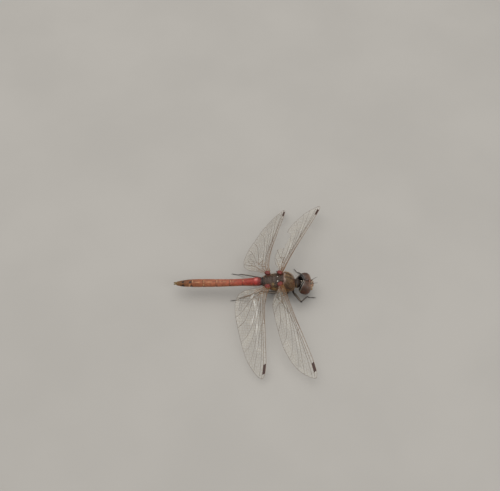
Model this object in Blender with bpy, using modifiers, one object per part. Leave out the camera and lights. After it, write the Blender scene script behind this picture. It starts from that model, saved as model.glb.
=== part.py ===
"""A perched male common darter, a dragonfly, at its size in life.

Head towards +X, its left side towards +Y, feet on Z = 0. All tables below are in millimetres.
"""

import math

import bmesh
import bpy
import numpy as np
from mathutils import Matrix, Vector

MM = 0.001
GAP = 0.12                      # clearance between neighbouring pieces
NAME = "dragonfly"

# Trunk, as cross-sections along X: x, underside, back, half width
THORAX = [
    (5.62, 2.95, 5.55, 1.30),
    (5.30, 2.30, 6.30, 1.72),
    (4.60, 1.85, 7.05, 2.18),
    (3.60, 1.62, 7.75, 2.50),
    (2.50, 1.62, 8.05, 2.70),
    (1.70, 1.80, 7.55, 2.76),
    (0.60, 2.10, 7.15, 2.74),
    (-0.80, 2.65, 6.95, 2.60),
    (-2.20, 3.30, 6.75, 2.25),
    (-3.20, 3.85, 6.50, 1.75),
    (-3.62, 4.15, 6.25, 1.40),
]
THORAX_RINGS = 17
PROTHORAX = [
    (7.10, 3.40, 4.98, 1.00),
    (6.90, 3.10, 5.22, 1.28),
    (6.50, 2.92, 5.42, 1.45),
    (6.10, 2.86, 5.50, 1.52),
    (5.82, 3.00, 5.40, 1.38),
]
NECK = [
    (7.98, 3.98, 5.02, 0.55),
    (7.22, 3.62, 4.86, 0.70),
]
ABDOMEN_ENDS = (-3.74, -4.60, -6.20, -9.30, -12.90, -16.70, -20.40, -23.60, -26.00, -27.20, -27.90)
# Abdomen outline: x, axis height, half height, half width
ABDOMEN = [
    (-3.74, 5.18, 0.98, 1.16),
    (-5.00, 5.12, 1.26, 1.24),
    (-6.60, 5.00, 1.20, 1.18),
    (-9.30, 4.80, 1.02, 1.08),
    (-12.90, 4.56, 1.00, 1.10),
    (-16.70, 4.44, 1.04, 1.17),
    (-20.40, 4.42, 1.08, 1.20),
    (-23.60, 4.34, 1.06, 1.16),
    (-26.00, 4.18, 0.91, 0.98),
    (-27.20, 4.12, 0.72, 0.79),
    (-27.95, 4.10, 0.53, 0.60),
]
CERCUS = dict(length=0.85, spread=0.33, rise=0.10, tip_rise=0.04, radius=0.27, tip_radius=0.25)

# Head
EYE_CENTRE = (8.40, 1.36, 4.18)
EYE_RADII = (1.80, 1.82, 2.12)
EYE_TURN = math.radians(16)     # outer side swung back
EYE_LEAN = math.radians(-10)    # tops lean together
EYE_FULLNESS = 2.3              # above 2, squarer than an ellipsoid
CAPSULE = ((8.75, 0.0, 3.50), (1.40, 2.25, 1.92))
FACE = ((9.72, 0.0, 3.70), (1.28, 1.46, 1.42))
FACE_FULLNESS = 2.6
NAPE = ((6.35, 0.0, 4.75), (1.90, 1.95, 2.10))   # the hollow at the back of the head
MOUTH = ((9.62, 0.0, 2.45), (1.05, 1.25, 0.92))
ANTENNA = dict(root=(10.28, 0.58, 4.95), tip=(11.95, 1.00, 6.15), radius=0.26)

# Wings. Edges are pairs of offsets from the line hinge to tip, forward positive, at shares of that line
WING_THICKNESS = 0.5
FORE_LENGTH, HIND_LENGTH = 28.6, 27.0
FORE_EDGES = [
    (0.00, 0.55, -0.70),
    (0.04, 0.60, -1.30),
    (0.10, 0.52, -3.05),
    (0.20, 0.42, -4.40),
    (0.32, 0.40, -4.90),
    (0.46, 0.48, -5.35),
    (0.60, 0.62, -5.55),
    (0.74, 0.72, -5.10),
    (0.85, 0.74, -4.15),
    (0.93, 0.60, -2.75),
    (0.98, 0.28, -1.35),
    (1.00, -0.10, -0.60),
]
HIND_EDGES = [
    (0.00, 0.45, -0.90),
    (0.03, 0.30, -3.20),
    (0.07, -0.20, -6.60),
    (0.13, -0.50, -8.35),
    (0.22, -0.66, -8.95),
    (0.32, -0.62, -8.75),
    (0.46, -0.25, -7.85),
    (0.60, 0.10, -6.80),
    (0.74, 0.46, -5.50),
    (0.85, 0.66, -4.10),
    (0.93, 0.58, -2.55),
    (0.98, 0.28, -1.25),
    (1.00, -0.10, -0.55),
]
# side, hinge, sweep forward, droop, pitch at root and tip (leading edge up), upward arch
WINGS = {
    "forewing_left": dict(edges=FORE_EDGES, length=FORE_LENGTH, side=1, hinge=(1.55, 2.1, 6.9),
                          sweep=25.9, droop=6.5, pitch=(16, 28), arch=0.5, worn=1.8),
    "forewing_right": dict(edges=FORE_EDGES, length=FORE_LENGTH, side=-1, hinge=(1.55, -2.1, 6.9),
                           sweep=18.8, droop=7.5, pitch=(4, 12), arch=0.5, worn=0.0),
    "hindwing_left": dict(edges=HIND_EDGES, length=HIND_LENGTH, side=1, hinge=(-1.9, 2.1, 6.2),
                          sweep=11.5, droop=10.7, pitch=(20, 38), arch=1.9, worn=0.0),
    "hindwing_right": dict(edges=HIND_EDGES, length=HIND_LENGTH, side=-1, hinge=(-1.9, -2.1, 6.2),
                           sweep=-3.9, droop=9.3, pitch=(2, 6), arch=0.4, worn=0.0),
}
WORN_FROM, WORN_TO = 0.29, 0.555   # the worn bite in a trailing edge, as shares of the wing's length
BITE_IN, BITE_OUT = 0.04, 0.02     # how quickly that bite deepens and ends
WING_STATIONS, CHORD_STEPS = 27, 4
TIP_CROWDING = 1.35                # above 1, the stations crowd towards the tip

# Legs: coxa, trochanter, knee, ankle, toe
LEGS = {
    "fore_right": [(5.00, -0.75, 2.30), (5.20, -1.25, 1.55), (7.31, -5.45, 3.05), (9.28, -2.21, 0.85),
                   (11.38, -2.26, 0.20)],
    "fore_left": [(5.00, 0.75, 2.30), (5.20, 1.25, 1.55), (7.50, 3.60, 3.50), (6.95, 5.95, 0.85),
                  (5.95, 7.20, 0.20)],
    "mid_right": [(3.75, -0.90, 2.10), (3.70, -1.50, 1.35), (0.48, -4.32, 4.00), (2.61, -4.97, 0.80),
                  (3.80, -7.20, 0.20)],
    "mid_left": [(3.75, 0.90, 2.10), (3.70, 1.50, 1.35), (0.60, 4.15, 4.00), (2.30, 4.80, 0.80),
                 (3.80, 6.20, 0.20)],
    "hind_right": [(2.40, -0.95, 2.20), (2.20, -1.65, 1.45), (-4.00, -3.05, 4.70), (-10.10, -2.92, 0.80),
                   (-12.30, -3.29, 0.20)],
    "hind_left": [(2.40, 0.95, 2.20), (2.20, 1.65, 1.45), (-4.45, 1.85, 4.40), (-9.75, 5.32, 0.80),
                  (-12.10, 5.74, 0.20)],
}
FEMUR_RADII = (0.42, 0.40, 0.33)   # coxa, trochanter, knee
TIBIA_RADII = (0.29, 0.25)
TARSUS_RADIUS = 0.25
COLOURS = {
    "abdomen": (0.62, 0.10, 0.05), "thorax": (0.20, 0.12, 0.06), "neck": (0.06, 0.04, 0.03),
    "eye": (0.13, 0.03, 0.02), "face": (0.30, 0.14, 0.05), "capsule": (0.10, 0.06, 0.04),
    "wing": (0.55, 0.48, 0.36), "leg": (0.04, 0.03, 0.025), "antenna": (0.05, 0.04, 0.03),
    "cercus": (0.50, 0.24, 0.12),
}


def clear_scene():
    for old in list(bpy.data.objects):
        bpy.data.objects.remove(old, do_unlink=True)


def new_collection(name):
    made = bpy.data.collections.new(name)
    bpy.context.scene.collection.children.link(made)
    return made


def material(kind):
    found = bpy.data.materials.get(kind)
    if found:
        return found
    made = bpy.data.materials.new(kind)
    made.use_nodes = True
    shader = made.node_tree.nodes["Principled BSDF"]
    shader.inputs["Base Color"].default_value = (*COLOURS[kind], 1.0)
    shader.inputs["Roughness"].default_value = 0.18 if kind == "eye" else 0.45
    shader.inputs["Metallic"].default_value = 0.0
    return made


def add_piece(name, mesh, kind, location=(0, 0, 0)):
    """One named sub-part, hung on the stance empty."""
    piece = bpy.data.objects.new(name, mesh)
    parts.objects.link(piece)
    mesh.materials.append(material(kind))
    mesh.shade_smooth()
    piece.parent = stance
    piece.location = Vector(location) * MM
    return piece


def add_cutter(name, mesh):
    guide = bpy.data.objects.new(name, mesh)
    cutters.objects.link(guide)
    guide.parent = stance
    guide.hide_render = True
    guide.display_type = "WIRE"
    return guide


def carve(piece, *guides, solver="EXACT"):
    for guide in guides:
        cut = piece.modifiers.new("cut by " + guide.name, "BOOLEAN")
        cut.operation = "DIFFERENCE"
        cut.solver = solver
        cut.object = guide


def ring_loft(name, rings):
    """A closed skin over rings of equally many points, with a fan of faces at each end."""
    work = bmesh.new()
    rows = [[work.verts.new(Vector(p) * MM) for p in ring] for ring in rings]
    count = len(rows[0])
    for low, high in zip(rows, rows[1:]):
        for i in range(count):
            j = (i + 1) % count
            work.faces.new((low[i], low[j], high[j], high[i]))
    for row, turned in ((rows[0], True), (rows[-1], False)):
        centre = work.verts.new(sum((v.co for v in row), Vector()) / count)
        for i in range(count):
            pair = (row[i], row[(i + 1) % count])
            work.faces.new((centre, *(pair[::-1] if turned else pair)))
    bmesh.ops.recalc_face_normals(work, faces=work.faces)
    mesh = bpy.data.meshes.new(name)
    work.to_mesh(mesh)
    work.free()
    return mesh


def smooth_rows(rows, count):
    """count rows spread evenly over the table's first column, read from a smooth curve through it."""
    table = np.array(rows, float)
    order = np.argsort(table[:, 0])
    table = table[order]
    at = np.linspace(table[0, 0], table[-1, 0], count)
    columns = [at] + [hermite(at, table[:, 0], table[:, k]) for k in range(1, table.shape[1])]
    return np.stack(columns, axis=1)


def hermite(at, x, y):
    """Cubic curve through (x, y) that doesn't overshoot between its points."""
    step = np.diff(x)
    rise = np.diff(y) / step
    slope = np.empty_like(y)
    slope[0], slope[-1] = rise[0], rise[-1]
    same = rise[1:] * rise[:-1] > 0
    inner = np.where(same, 2 * rise[1:] * rise[:-1] / np.where(same, rise[1:] + rise[:-1], 1), 0)
    slope[1:-1] = inner
    i = np.clip(np.searchsorted(x, at, side="right") - 1, 0, len(step) - 1)
    h = step[i]
    s = (at - x[i]) / h
    return (y[i] * (2 * s**3 - 3 * s**2 + 1) + slope[i] * h * (s**3 - 2 * s**2 + s)
            + y[i + 1] * (3 * s**2 - 2 * s**3) + slope[i + 1] * h * (s**3 - s**2))


def section(x, low, high, half, grow=0.0, sides=24, belly=1.75, back=2.2, shoulder=0.52):
    """One cross-section of the trunk, narrower below than above."""
    middle = low + (high - low) * shoulder
    ring = []
    for i in range(sides):
        a = 2 * math.pi * i / sides
        c, s = math.cos(a), math.sin(a)
        power = 2 / (back if s > 0 else belly)
        reach = (high - middle if s > 0 else middle - low) + grow
        y = (half + grow) * math.copysign(abs(c) ** power, c)
        z = middle + reach * math.copysign(abs(s) ** power, s)
        ring.append((x, y, z))
    return ring


def trunk_mesh(name, table, count, grow=0.0, **shape):
    rows = smooth_rows(table, count)
    rings = [section(*row, grow=grow, **shape) for row in rows]
    if grow:
        rings = [[(x - grow, y, z) for x, y, z in rings[0]]] + rings + [
            [(x + grow, y, z) for x, y, z in rings[-1]]]
    return ring_loft(name, rings)


def make_trunk():
    add_piece("thorax", trunk_mesh("thorax", THORAX, THORAX_RINGS), "thorax")
    add_piece("prothorax", trunk_mesh("prothorax", PROTHORAX, 5, sides=20, belly=2, back=2), "neck")
    add_piece("neck", trunk_mesh("neck", NECK, 3, sides=14, belly=2, back=2), "neck")
    guide = add_cutter("thorax_clearance", trunk_mesh("thorax_clearance", THORAX, THORAX_RINGS, grow=GAP))
    return guide


def make_abdomen():
    table = np.array(sorted(ABDOMEN), float)
    for number, (front, rear) in enumerate(zip(ABDOMEN_ENDS, ABDOMEN_ENDS[1:]), start=1):
        stations = np.linspace(front - GAP / 2, rear + GAP / 2, 5)
        axis, tall, wide = (hermite(stations, table[:, 0], table[:, k]) for k in (1, 2, 3))
        rings = [section(x, z - h, z + h, w, sides=18, belly=2.1, back=2.1, shoulder=0.5)
                 for x, z, h, w in zip(stations, axis, tall, wide)]
        add_piece(f"abdomen_{number:02d}", ring_loft(f"abdomen_{number:02d}", rings), "abdomen")
    end, height = ABDOMEN_ENDS[-1], ABDOMEN[-1][1]
    for side, word in ((1, "left"), (-1, "right")):
        path = [(end - GAP - CERCUS["radius"], side * CERCUS["spread"], height + CERCUS["rise"]),
                (end - CERCUS["length"], side * CERCUS["spread"], height + CERCUS["tip_rise"])]
        add_tube(f"cercus_{word}", path, (CERCUS["radius"], CERCUS["tip_radius"]), "cercus", sides=8)


def tube_rings(path, radii, sides):
    """Rings round a bent path, with rounded ends."""
    points = [Vector(p) for p in path]
    runs = [(b - a).normalized() for a, b in zip(points, points[1:])]
    ahead = [runs[0]] + [(a + b).normalized() for a, b in zip(runs, runs[1:])] + [runs[-1]]
    side = ahead[0].orthogonal().normalized()
    rings = []
    for k, (point, along, radius) in enumerate(zip(points, ahead, radii)):
        side = (side - along * side.dot(along)).normalized()
        other = along.cross(side)
        slices = [(0.0, 1.0)]
        if k == 0:
            slices = [(-0.94, 0.34), (-0.62, 0.78), (0.0, 1.0)]
        if k == len(points) - 1:
            slices = [(0.0, 1.0), (0.62, 0.78), (0.94, 0.34)]
        for push, share in slices:
            centre = point + along * push * radius
            rings.append([centre + (side * math.cos(a) + other * math.sin(a)) * radius * share
                          for a in np.arange(sides) * 2 * math.pi / sides])
    return rings


def add_tube(name, path, radii, kind, sides=10, floor=None):
    """A tapered limb. With floor given, what would go below it lies flat on it."""
    origin = Vector(path[0])
    rings = tube_rings(path, radii, sides)
    if floor is not None:
        rings = [[Vector((p.x, p.y, max(p.z, floor))) for p in ring] for ring in rings]
    rings = [[p - origin for p in ring] for ring in rings]
    return add_piece(name, ring_loft(name, rings), kind, location=origin)


def pull_back(joint, inward, outward, radii):
    """Ends of two round limbs that bend at a joint, drawn apart until they clear each other."""
    to_body, to_foot = (inward - joint).normalized(), (outward - joint).normalized()
    half_angle = math.acos(max(-1, min(1, to_body.dot(to_foot)))) / 2
    back = (sum(radii) + GAP) / (2 * math.sin(half_angle))
    return joint + to_body * back, joint + to_foot * back


def make_legs(thorax_guide):
    for place, joints in LEGS.items():
        coxa, trochanter, knee, ankle, toe = (Vector(p) for p in joints)
        femur_end, tibia_start = pull_back(knee, trochanter, ankle, (FEMUR_RADII[2], TIBIA_RADII[0]))
        tibia_end, tarsus_start = pull_back(ankle, knee, toe, (TIBIA_RADII[1], TARSUS_RADIUS))
        femur = add_tube(f"femur_{place}", (coxa, trochanter, femur_end), FEMUR_RADII, "leg")
        carve(femur, thorax_guide)
        add_tube(f"tibia_{place}", (tibia_start, tibia_end), TIBIA_RADII, "leg", sides=8)
        heel = Vector((tarsus_start.x, tarsus_start.y, min(tarsus_start.z, TARSUS_RADIUS * 2)))
        add_tube(f"tarsus_{place}", (heel, heel.lerp(toe, 0.4), toe), (TARSUS_RADIUS,) * 3, "leg",
                 sides=8, floor=0.0)


def egg(name, centre, radii, turn=0.0, lean=0.0, grow=0.0, segments=20, rings=13, spin=0.0, fullness=2.0):
    """An ellipsoid with its poles along Y, turned about Z and leaned about X.

    spin turns its facets only, and a fullness above 2 swells it towards a rounded block.
    """
    work = bmesh.new()
    bmesh.ops.create_uvsphere(work, u_segments=segments, v_segments=rings, radius=1.0)
    poles = Matrix.Rotation(math.pi / 2, 4, "X") @ Matrix.Rotation(spin, 4, "Z")
    bmesh.ops.transform(work, matrix=poles, verts=work.verts)
    for vert in work.verts:
        vert.co /= sum(abs(c) ** fullness for c in vert.co) ** (1 / fullness)
    size = Matrix.Diagonal(Vector([(r + grow) * MM for r in radii]).to_4d())
    size[3][3] = 1.0
    place = (Matrix.Translation(Vector(centre) * MM) @ Matrix.Rotation(turn, 4, "Z")
             @ Matrix.Rotation(lean, 4, "X") @ size)
    bmesh.ops.transform(work, matrix=place, verts=work.verts)
    mesh = bpy.data.meshes.new(name)
    work.to_mesh(mesh)
    work.free()
    return mesh


def slab(name, low, high):
    """A block between two corners, for planing an eye flat along the seam."""
    work = bmesh.new()
    bmesh.ops.create_cube(work, size=1.0)
    low, high = Vector(low) * MM, Vector(high) * MM
    size = Matrix.Diagonal((high - low).to_4d())
    size[3][3] = 1.0
    bmesh.ops.transform(work, matrix=Matrix.Translation((low + high) / 2) @ size, verts=work.verts)
    mesh = bpy.data.meshes.new(name)
    work.to_mesh(mesh)
    work.free()
    return mesh


def make_head():
    """Curved cuts that cross each other use the MANIFOLD solver, which keeps every piece closed there."""
    guides = []
    nape_guide = add_cutter("nape", egg("nape", *NAPE, spin=0.12, rings=15))
    face_guide = add_cutter("face_clearance", egg("face_clearance", *FACE, grow=GAP, spin=0.05,
                                                  fullness=FACE_FULLNESS))
    for side, word in ((1, "left"), (-1, "right")):
        centre = (EYE_CENTRE[0], side * EYE_CENTRE[1], EYE_CENTRE[2])
        pose = dict(turn=side * EYE_TURN, lean=-side * EYE_LEAN, fullness=EYE_FULLNESS)
        eye = add_piece(f"eye_{word}", egg(f"eye_{word}", centre, EYE_RADII, **pose), "eye")
        far = sorted((side * GAP / 2, -side * 4.0))
        carve(eye, add_cutter(f"seam_{word}", slab(f"seam_{word}", (5, far[0], 0), (13, far[1], 9))),
              nape_guide, face_guide, solver="MANIFOLD")
        guides.append(add_cutter(f"eye_clearance_{word}",
                                 egg(f"eye_clearance_{word}", centre, EYE_RADII, grow=GAP, **pose)))
    capsule_guide = add_cutter("capsule_clearance", egg("capsule_clearance", *CAPSULE, grow=GAP, spin=0.09))
    capsule = add_piece("head_capsule", egg("head_capsule", *CAPSULE, spin=0.09), "capsule")
    carve(capsule, *guides, nape_guide, face_guide, solver="MANIFOLD")
    add_piece("face", egg("face", *FACE, spin=0.05, fullness=FACE_FULLNESS), "face")
    mouth = add_piece("mouthparts", egg("mouthparts", *MOUTH, segments=16, rings=9, spin=0.03), "face")
    carve(mouth, *guides, capsule_guide, face_guide, solver="MANIFOLD")
    for side, word in ((1, "left"), (-1, "right")):
        root, tip = ((x, side * y, z) for x, y, z in (ANTENNA["root"], ANTENNA["tip"]))
        feeler = add_tube(f"antenna_{word}", (root, tip), (ANTENNA["radius"],) * 2, "antenna", sides=8)
        carve(feeler, *guides, face_guide, solver="MANIFOLD")


def wing_point(wing, share, offset):
    """A point of a wing's middle surface: share along hinge to tip, offset forward of that line."""
    sweep, droop = math.radians(wing["sweep"]), math.radians(wing["droop"])
    along = Vector((math.sin(sweep) * math.cos(droop), wing["side"] * math.cos(sweep) * math.cos(droop),
                    -math.sin(droop)))
    forward = Vector((1, 0, 0))
    forward = (forward - along * forward.dot(along)).normalized()
    up = along.cross(forward)
    up = up if up.z > 0 else -up
    root_pitch, tip_pitch = wing["pitch"]
    pitch = math.radians(root_pitch + (tip_pitch - root_pitch) * share)
    chord = forward * math.cos(pitch) + up * math.sin(pitch)
    bow = wing["arch"] * 4 * share * (1 - share)
    return Vector(wing["hinge"]) + along * wing["length"] * share + chord * offset + up * bow


def make_wings(thorax_guide):
    for name, wing in WINGS.items():
        table = np.array(wing["edges"], float)
        shares = 1 - (1 - np.linspace(0, 1, WING_STATIONS)) ** TIP_CROWDING
        leads, trails = (hermite(shares, table[:, 0], table[:, k]) for k in (1, 2))
        bite = (np.clip((shares - WORN_FROM) / BITE_IN, 0, 1)
                * np.clip((WORN_TO - shares) / BITE_OUT, 0, 1))
        trails = trails + wing["worn"] * bite
        work = bmesh.new()
        grid = []
        for share, lead, trail in zip(shares, leads, trails):
            offsets = [lead + (trail - lead) * k / CHORD_STEPS for k in range(CHORD_STEPS + 1)]
            grid.append([work.verts.new(wing_point(wing, share, offset) * MM) for offset in offsets])
        for near, far in zip(grid, grid[1:]):
            for k in range(CHORD_STEPS):
                work.faces.new((near[k], near[k + 1], far[k + 1], far[k]))
        mesh = bpy.data.meshes.new(name)
        work.to_mesh(mesh)
        work.free()
        sheet = add_piece(name, mesh, "wing")
        shell = sheet.modifiers.new("thickness", "SOLIDIFY")
        shell.thickness = WING_THICKNESS * MM
        shell.offset = 0
        carve(sheet, thorax_guide)


def centre_over_origin():
    """Moves the whole insect so that the box it fills stands centred on the origin."""
    bpy.context.view_layer.update()
    graph = bpy.context.evaluated_depsgraph_get()
    points = []
    for piece in parts.objects:
        if piece.type == "MESH":
            solid = piece.evaluated_get(graph)
            points += [solid.matrix_world @ v.co for v in solid.data.vertices]
    for axis in (0, 1):
        reach = [p[axis] for p in points]
        stance.location[axis] -= (min(reach) + max(reach)) / 2


clear_scene()
parts = new_collection(NAME)
cutters = new_collection("cutters")
stance = bpy.data.objects.new("stance", None)
parts.objects.link(stance)
thorax_clearance = make_trunk()
make_abdomen()
make_legs(thorax_clearance)
make_head()
make_wings(thorax_clearance)
centre_over_origin()
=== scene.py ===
import heapq
import math

import bmesh
import bpy
import numpy as np
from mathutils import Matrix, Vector, geometry


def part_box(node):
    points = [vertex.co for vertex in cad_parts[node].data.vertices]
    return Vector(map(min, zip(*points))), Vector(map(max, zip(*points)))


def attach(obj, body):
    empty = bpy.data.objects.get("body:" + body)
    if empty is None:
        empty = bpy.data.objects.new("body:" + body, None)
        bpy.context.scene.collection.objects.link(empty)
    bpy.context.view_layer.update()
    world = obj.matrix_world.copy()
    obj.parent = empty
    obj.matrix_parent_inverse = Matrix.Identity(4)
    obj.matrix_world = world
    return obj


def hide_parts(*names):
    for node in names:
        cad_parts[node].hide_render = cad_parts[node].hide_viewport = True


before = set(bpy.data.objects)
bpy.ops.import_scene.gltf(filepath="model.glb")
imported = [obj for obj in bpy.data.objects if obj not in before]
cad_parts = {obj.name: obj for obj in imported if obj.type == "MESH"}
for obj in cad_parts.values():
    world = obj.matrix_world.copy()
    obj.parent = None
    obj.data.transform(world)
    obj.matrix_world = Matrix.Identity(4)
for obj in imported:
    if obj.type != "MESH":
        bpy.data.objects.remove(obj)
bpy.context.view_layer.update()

# A male common darter at rest. Tables are in millimetres: head to +X, its left side to +Y, floor at Z = 0
body = "root"
mm = 0.001
thoraxMiddle = 1.0       # X of the thorax solid's middle in these tables
thoraxLow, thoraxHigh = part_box("thorax")
origin = np.array([(thoraxLow.x + thoraxHigh.x) / 2 - thoraxMiddle * mm, (thoraxLow.y + thoraxHigh.y) / 2,
                   0.0])
dice = np.random.default_rng(11)
bothSides = ((1, "left"), (-1, "right"))


def ease(low, high, value):
    share = np.clip((np.asarray(value, float) - low) / (high - low), 0, 1)
    return share * share * (3 - 2 * share)


def bell(value, middle, width):
    return np.exp(-((np.asarray(value, float) - middle) / width) ** 2)


def blot(x, y, place, outer=1.1, inner=0.6):
    # a soft-edged oval: middle x and y, half length, half width
    middleX, middleY, length, width = place
    return ease(outer, inner, np.hypot((x - middleX) / length, (y - middleY) / width))


def curve(at, x, y):
    # a cubic through the points that doesn't overshoot between them
    x, y = np.asarray(x, float), np.asarray(y, float)
    step = np.diff(x)
    rise = np.diff(y) / step
    slope = np.concatenate([rise[:1], np.zeros(len(rise) - 1), rise[-1:]])
    same = rise[1:] * rise[:-1] > 0
    slope[1:-1] = np.where(same, 2 * rise[1:] * rise[:-1] / np.where(same, rise[1:] + rise[:-1], 1), 0)
    at = np.clip(at, x[0], x[-1])
    i = np.clip(np.searchsorted(x, at, side="right") - 1, 0, len(step) - 1)
    h = step[i]
    s = (at - x[i]) / h
    return (y[i] * (2 * s**3 - 3 * s**2 + 1) + slope[i] * h * (s**3 - 2 * s**2 + s)
            + y[i + 1] * (3 * s**2 - 2 * s**3) + slope[i + 1] * h * (s**3 - s**2))


def paint(red, green, blue):
    # screen values of 0 to 255, as linear light
    return np.array([((c / 255 + 0.055) / 1.055) ** 2.4 for c in (red, green, blue)])


def paints(table):
    return {key: paint(*value) for key, value in table.items()}


def blendTint(base, colour, share):
    return base + (np.asarray(colour) - base) * np.asarray(share)[..., None]


def washed(colour, like):
    # one colour for every point of a set of rings
    return np.broadcast_to(colour, like.shape)


def layered(tints, colours, layers):
    # colours laid over each other in turn, each given as its name and how much of it shows
    for key, share in layers:
        tints = blendTint(tints, colours[key], share)
    return tints


def unit(vectors):
    return vectors / np.maximum(np.linalg.norm(vectors, axis=-1, keepdims=True), 1e-12)


def newStore():
    return {"points": [], "faces": [], "tints": [], "count": 0}


def put(store, points, faces, tints):
    points = np.asarray(points, float).reshape(-1, 3)
    tints = np.broadcast_to(np.asarray(tints, float), points.shape)
    store["points"].append(points)
    store["faces"] += [tuple(int(i) + store["count"] for i in face) for face in faces]
    store["tints"].append(tints)
    store["count"] += len(points)


def ringFaces(stations, around):
    grid = np.arange(stations * around).reshape(stations, around)
    over = np.roll(grid, -1, axis=1)
    return np.stack([grid[:-1], over[:-1], over[1:], grid[1:]], axis=-1).reshape(-1, 4).tolist()


def putRings(store, rows, tints):
    # a closed tube of rings, with a fan of faces at each end
    stations, around = rows.shape[:2]
    faces = ringFaces(stations, around)
    ends = stations * around
    for centre, first, turned in ((ends, 0, True), (ends + 1, ends - around, False)):
        for i in range(around):
            pair = (first + i, first + (i + 1) % around)
            faces.append((centre, *(pair[::-1] if turned else pair)))
    points = np.vstack([rows.reshape(-1, 3), rows[0].mean(0), rows[-1].mean(0)])
    tints = np.asarray(tints, float)
    if tints.ndim == 3:
        tints = np.vstack([tints.reshape(-1, 3), tints[0].mean(0), tints[-1].mean(0)])
    put(store, points, faces, tints)


def addObject(name, data):
    made = bpy.data.objects.new(name, data)
    bpy.context.scene.collection.objects.link(made)
    return made


def finishPiece(name, store, stands, finish, mapped=None):
    points = np.vstack(store["points"]) * mm + origin
    mesh = bpy.data.meshes.new(name)
    mesh.from_pydata(points.tolist(), [], store["faces"])
    tints = np.ones((len(points), 4), np.float32)
    tints[:, :3] = np.clip(np.vstack(store["tints"]), 0, 1)
    mesh.color_attributes.new(name="tint", type="FLOAT_COLOR",
                              domain="POINT").data.foreach_set("color", tints.ravel())
    if mapped is not None:
        layer = mesh.uv_layers.new(name="OFBake")
        corners = np.empty(len(mesh.loops), np.int32)
        mesh.loops.foreach_get("vertex_index", corners)
        layer.data.foreach_set("uv", mapped[corners].astype(np.float32).ravel())
    work = bmesh.new()
    work.from_mesh(mesh)
    bmesh.ops.recalc_face_normals(work, faces=work.faces)
    work.to_mesh(mesh)
    work.free()
    mesh.shade_smooth()
    mesh.materials.append(finish)
    piece = addObject(name, mesh)
    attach(piece, body)
    if stands:
        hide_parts(*stands)
    return piece


def ringPiece(name, rows, tints, stands, finish):
    store = newStore()
    putRings(store, rows, tints)
    return finishPiece(name, store, stands, finish)


def sweep(path, radii, sides=8, squash=1.0, facing=(0, 0, 1)):
    # rings along a path; squash thins them across the side that faces the given way
    path, radii = np.asarray(path, float), np.asarray(radii, float)
    ahead = unit(np.gradient(path, axis=0))
    facing = np.asarray(facing, float)
    up = unit(facing - ahead * (ahead @ facing)[:, None])
    side = np.cross(ahead, up)
    turn = np.arange(sides) * 2 * math.pi / sides
    return (path[:, None] + radii[:, None, None] * (side[:, None] * np.cos(turn)[None, :, None]
            + up[:, None] * np.sin(turn)[None, :, None] * squash))


def throughPoints(points, count):
    # a smooth run through a few points, evenly by length
    points = np.asarray(points, float)
    reach = np.concatenate([[0], np.cumsum(np.linalg.norm(np.diff(points, axis=0), axis=1))])
    at = np.linspace(0, reach[-1], count)
    return np.stack([curve(at, reach, points[:, k]) for k in range(3)], axis=1), at / reach[-1]


def taperedTube(points, radii, count, **shape):
    # rings along a smooth run through a few points, with radii given at shares of its length
    path, share = throughPoints(points, count)
    return sweep(path, np.interp(share, *zip(*radii)), **shape), path, share


def ball(centre, radii, rings=24, sides=32, axis=1, fullness=2.0):
    # an ellipsoid as rings, with its poles along the axis given; above 2 its fullness makes it blockier
    latitude = np.linspace(-math.pi / 2, math.pi / 2, rings + 2)[1:-1]
    turn = np.arange(sides) * 2 * math.pi / sides
    spin = np.stack([np.sin(latitude)[:, None] + 0 * turn, np.cos(latitude)[:, None] * np.cos(turn),
                     np.cos(latitude)[:, None] * np.sin(turn)], axis=-1)
    spin = spin / np.sum(np.abs(spin) ** fullness, axis=-1, keepdims=True) ** (1 / fullness)
    order = {0: (0, 1, 2), 1: (2, 0, 1), 2: (1, 2, 0)}[axis]
    return np.asarray(centre) + spin[..., order] * np.asarray(radii)


def gridNormals(rows):
    along = np.gradient(rows, axis=0)
    around = np.roll(rows, -1, axis=1) - np.roll(rows, 1, axis=1)
    out = unit(np.cross(around, along))
    if np.sum(out * (rows - rows.mean(axis=1, keepdims=True))) < 0:
        out = -out
    return out


def feed(tree, socket, value):
    if isinstance(value, bpy.types.NodeSocket):
        tree.links.new(value, socket)
    else:
        socket.default_value = value


def wear(tree, shader, colour, field, span, roughness):
    # the colour, and a roughness that follows a field
    feed(tree, shader.inputs["Base Color"], colour)
    feed(tree, shader.inputs["Roughness"], ranged(tree, field, *span, *roughness))


def addNode(tree, kind, inputs, **settings):
    made = tree.nodes.new("ShaderNode" + kind)
    for key, value in settings.items():
        setattr(made, key, value)
    for key, value in inputs.items():
        feed(tree, made.inputs[key], value)
    return made


def startFinish(name, **plain):
    finish = bpy.data.materials.new(name)
    finish.use_nodes = True
    tree = finish.node_tree
    shader = tree.nodes["Principled BSDF"]
    for key, value in plain.items():
        shader.inputs[key.replace("_", " ")].default_value = value
    place = addNode(tree, "TexCoord", {}).outputs["Object"]
    scaled = addNode(tree, "VectorMath", {0: place, "Scale": 1 / mm}, operation="SCALE").outputs["Vector"]
    tint = addNode(tree, "Attribute", {}, attribute_name="tint").outputs["Color"]
    return finish, tree, shader, scaled, tint


def noise(tree, place, size, detail=3.0, rough=0.5):
    return addNode(tree, "TexNoise", {"Vector": place, "Scale": 1 / size, "Detail": detail,
                                      "Roughness": rough}).outputs["Fac"]


def cells(tree, place, size, feature="F1"):
    return addNode(tree, "TexVoronoi", {"Vector": place, "Scale": 1 / size},
                   feature=feature).outputs["Distance"]


def ranged(tree, value, low, high, first=0.0, last=1.0):
    return addNode(tree, "MapRange", {"Value": value, "From Min": low, "From Max": high, "To Min": first,
                                      "To Max": last}, interpolation_type="SMOOTHSTEP").outputs["Result"]


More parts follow.
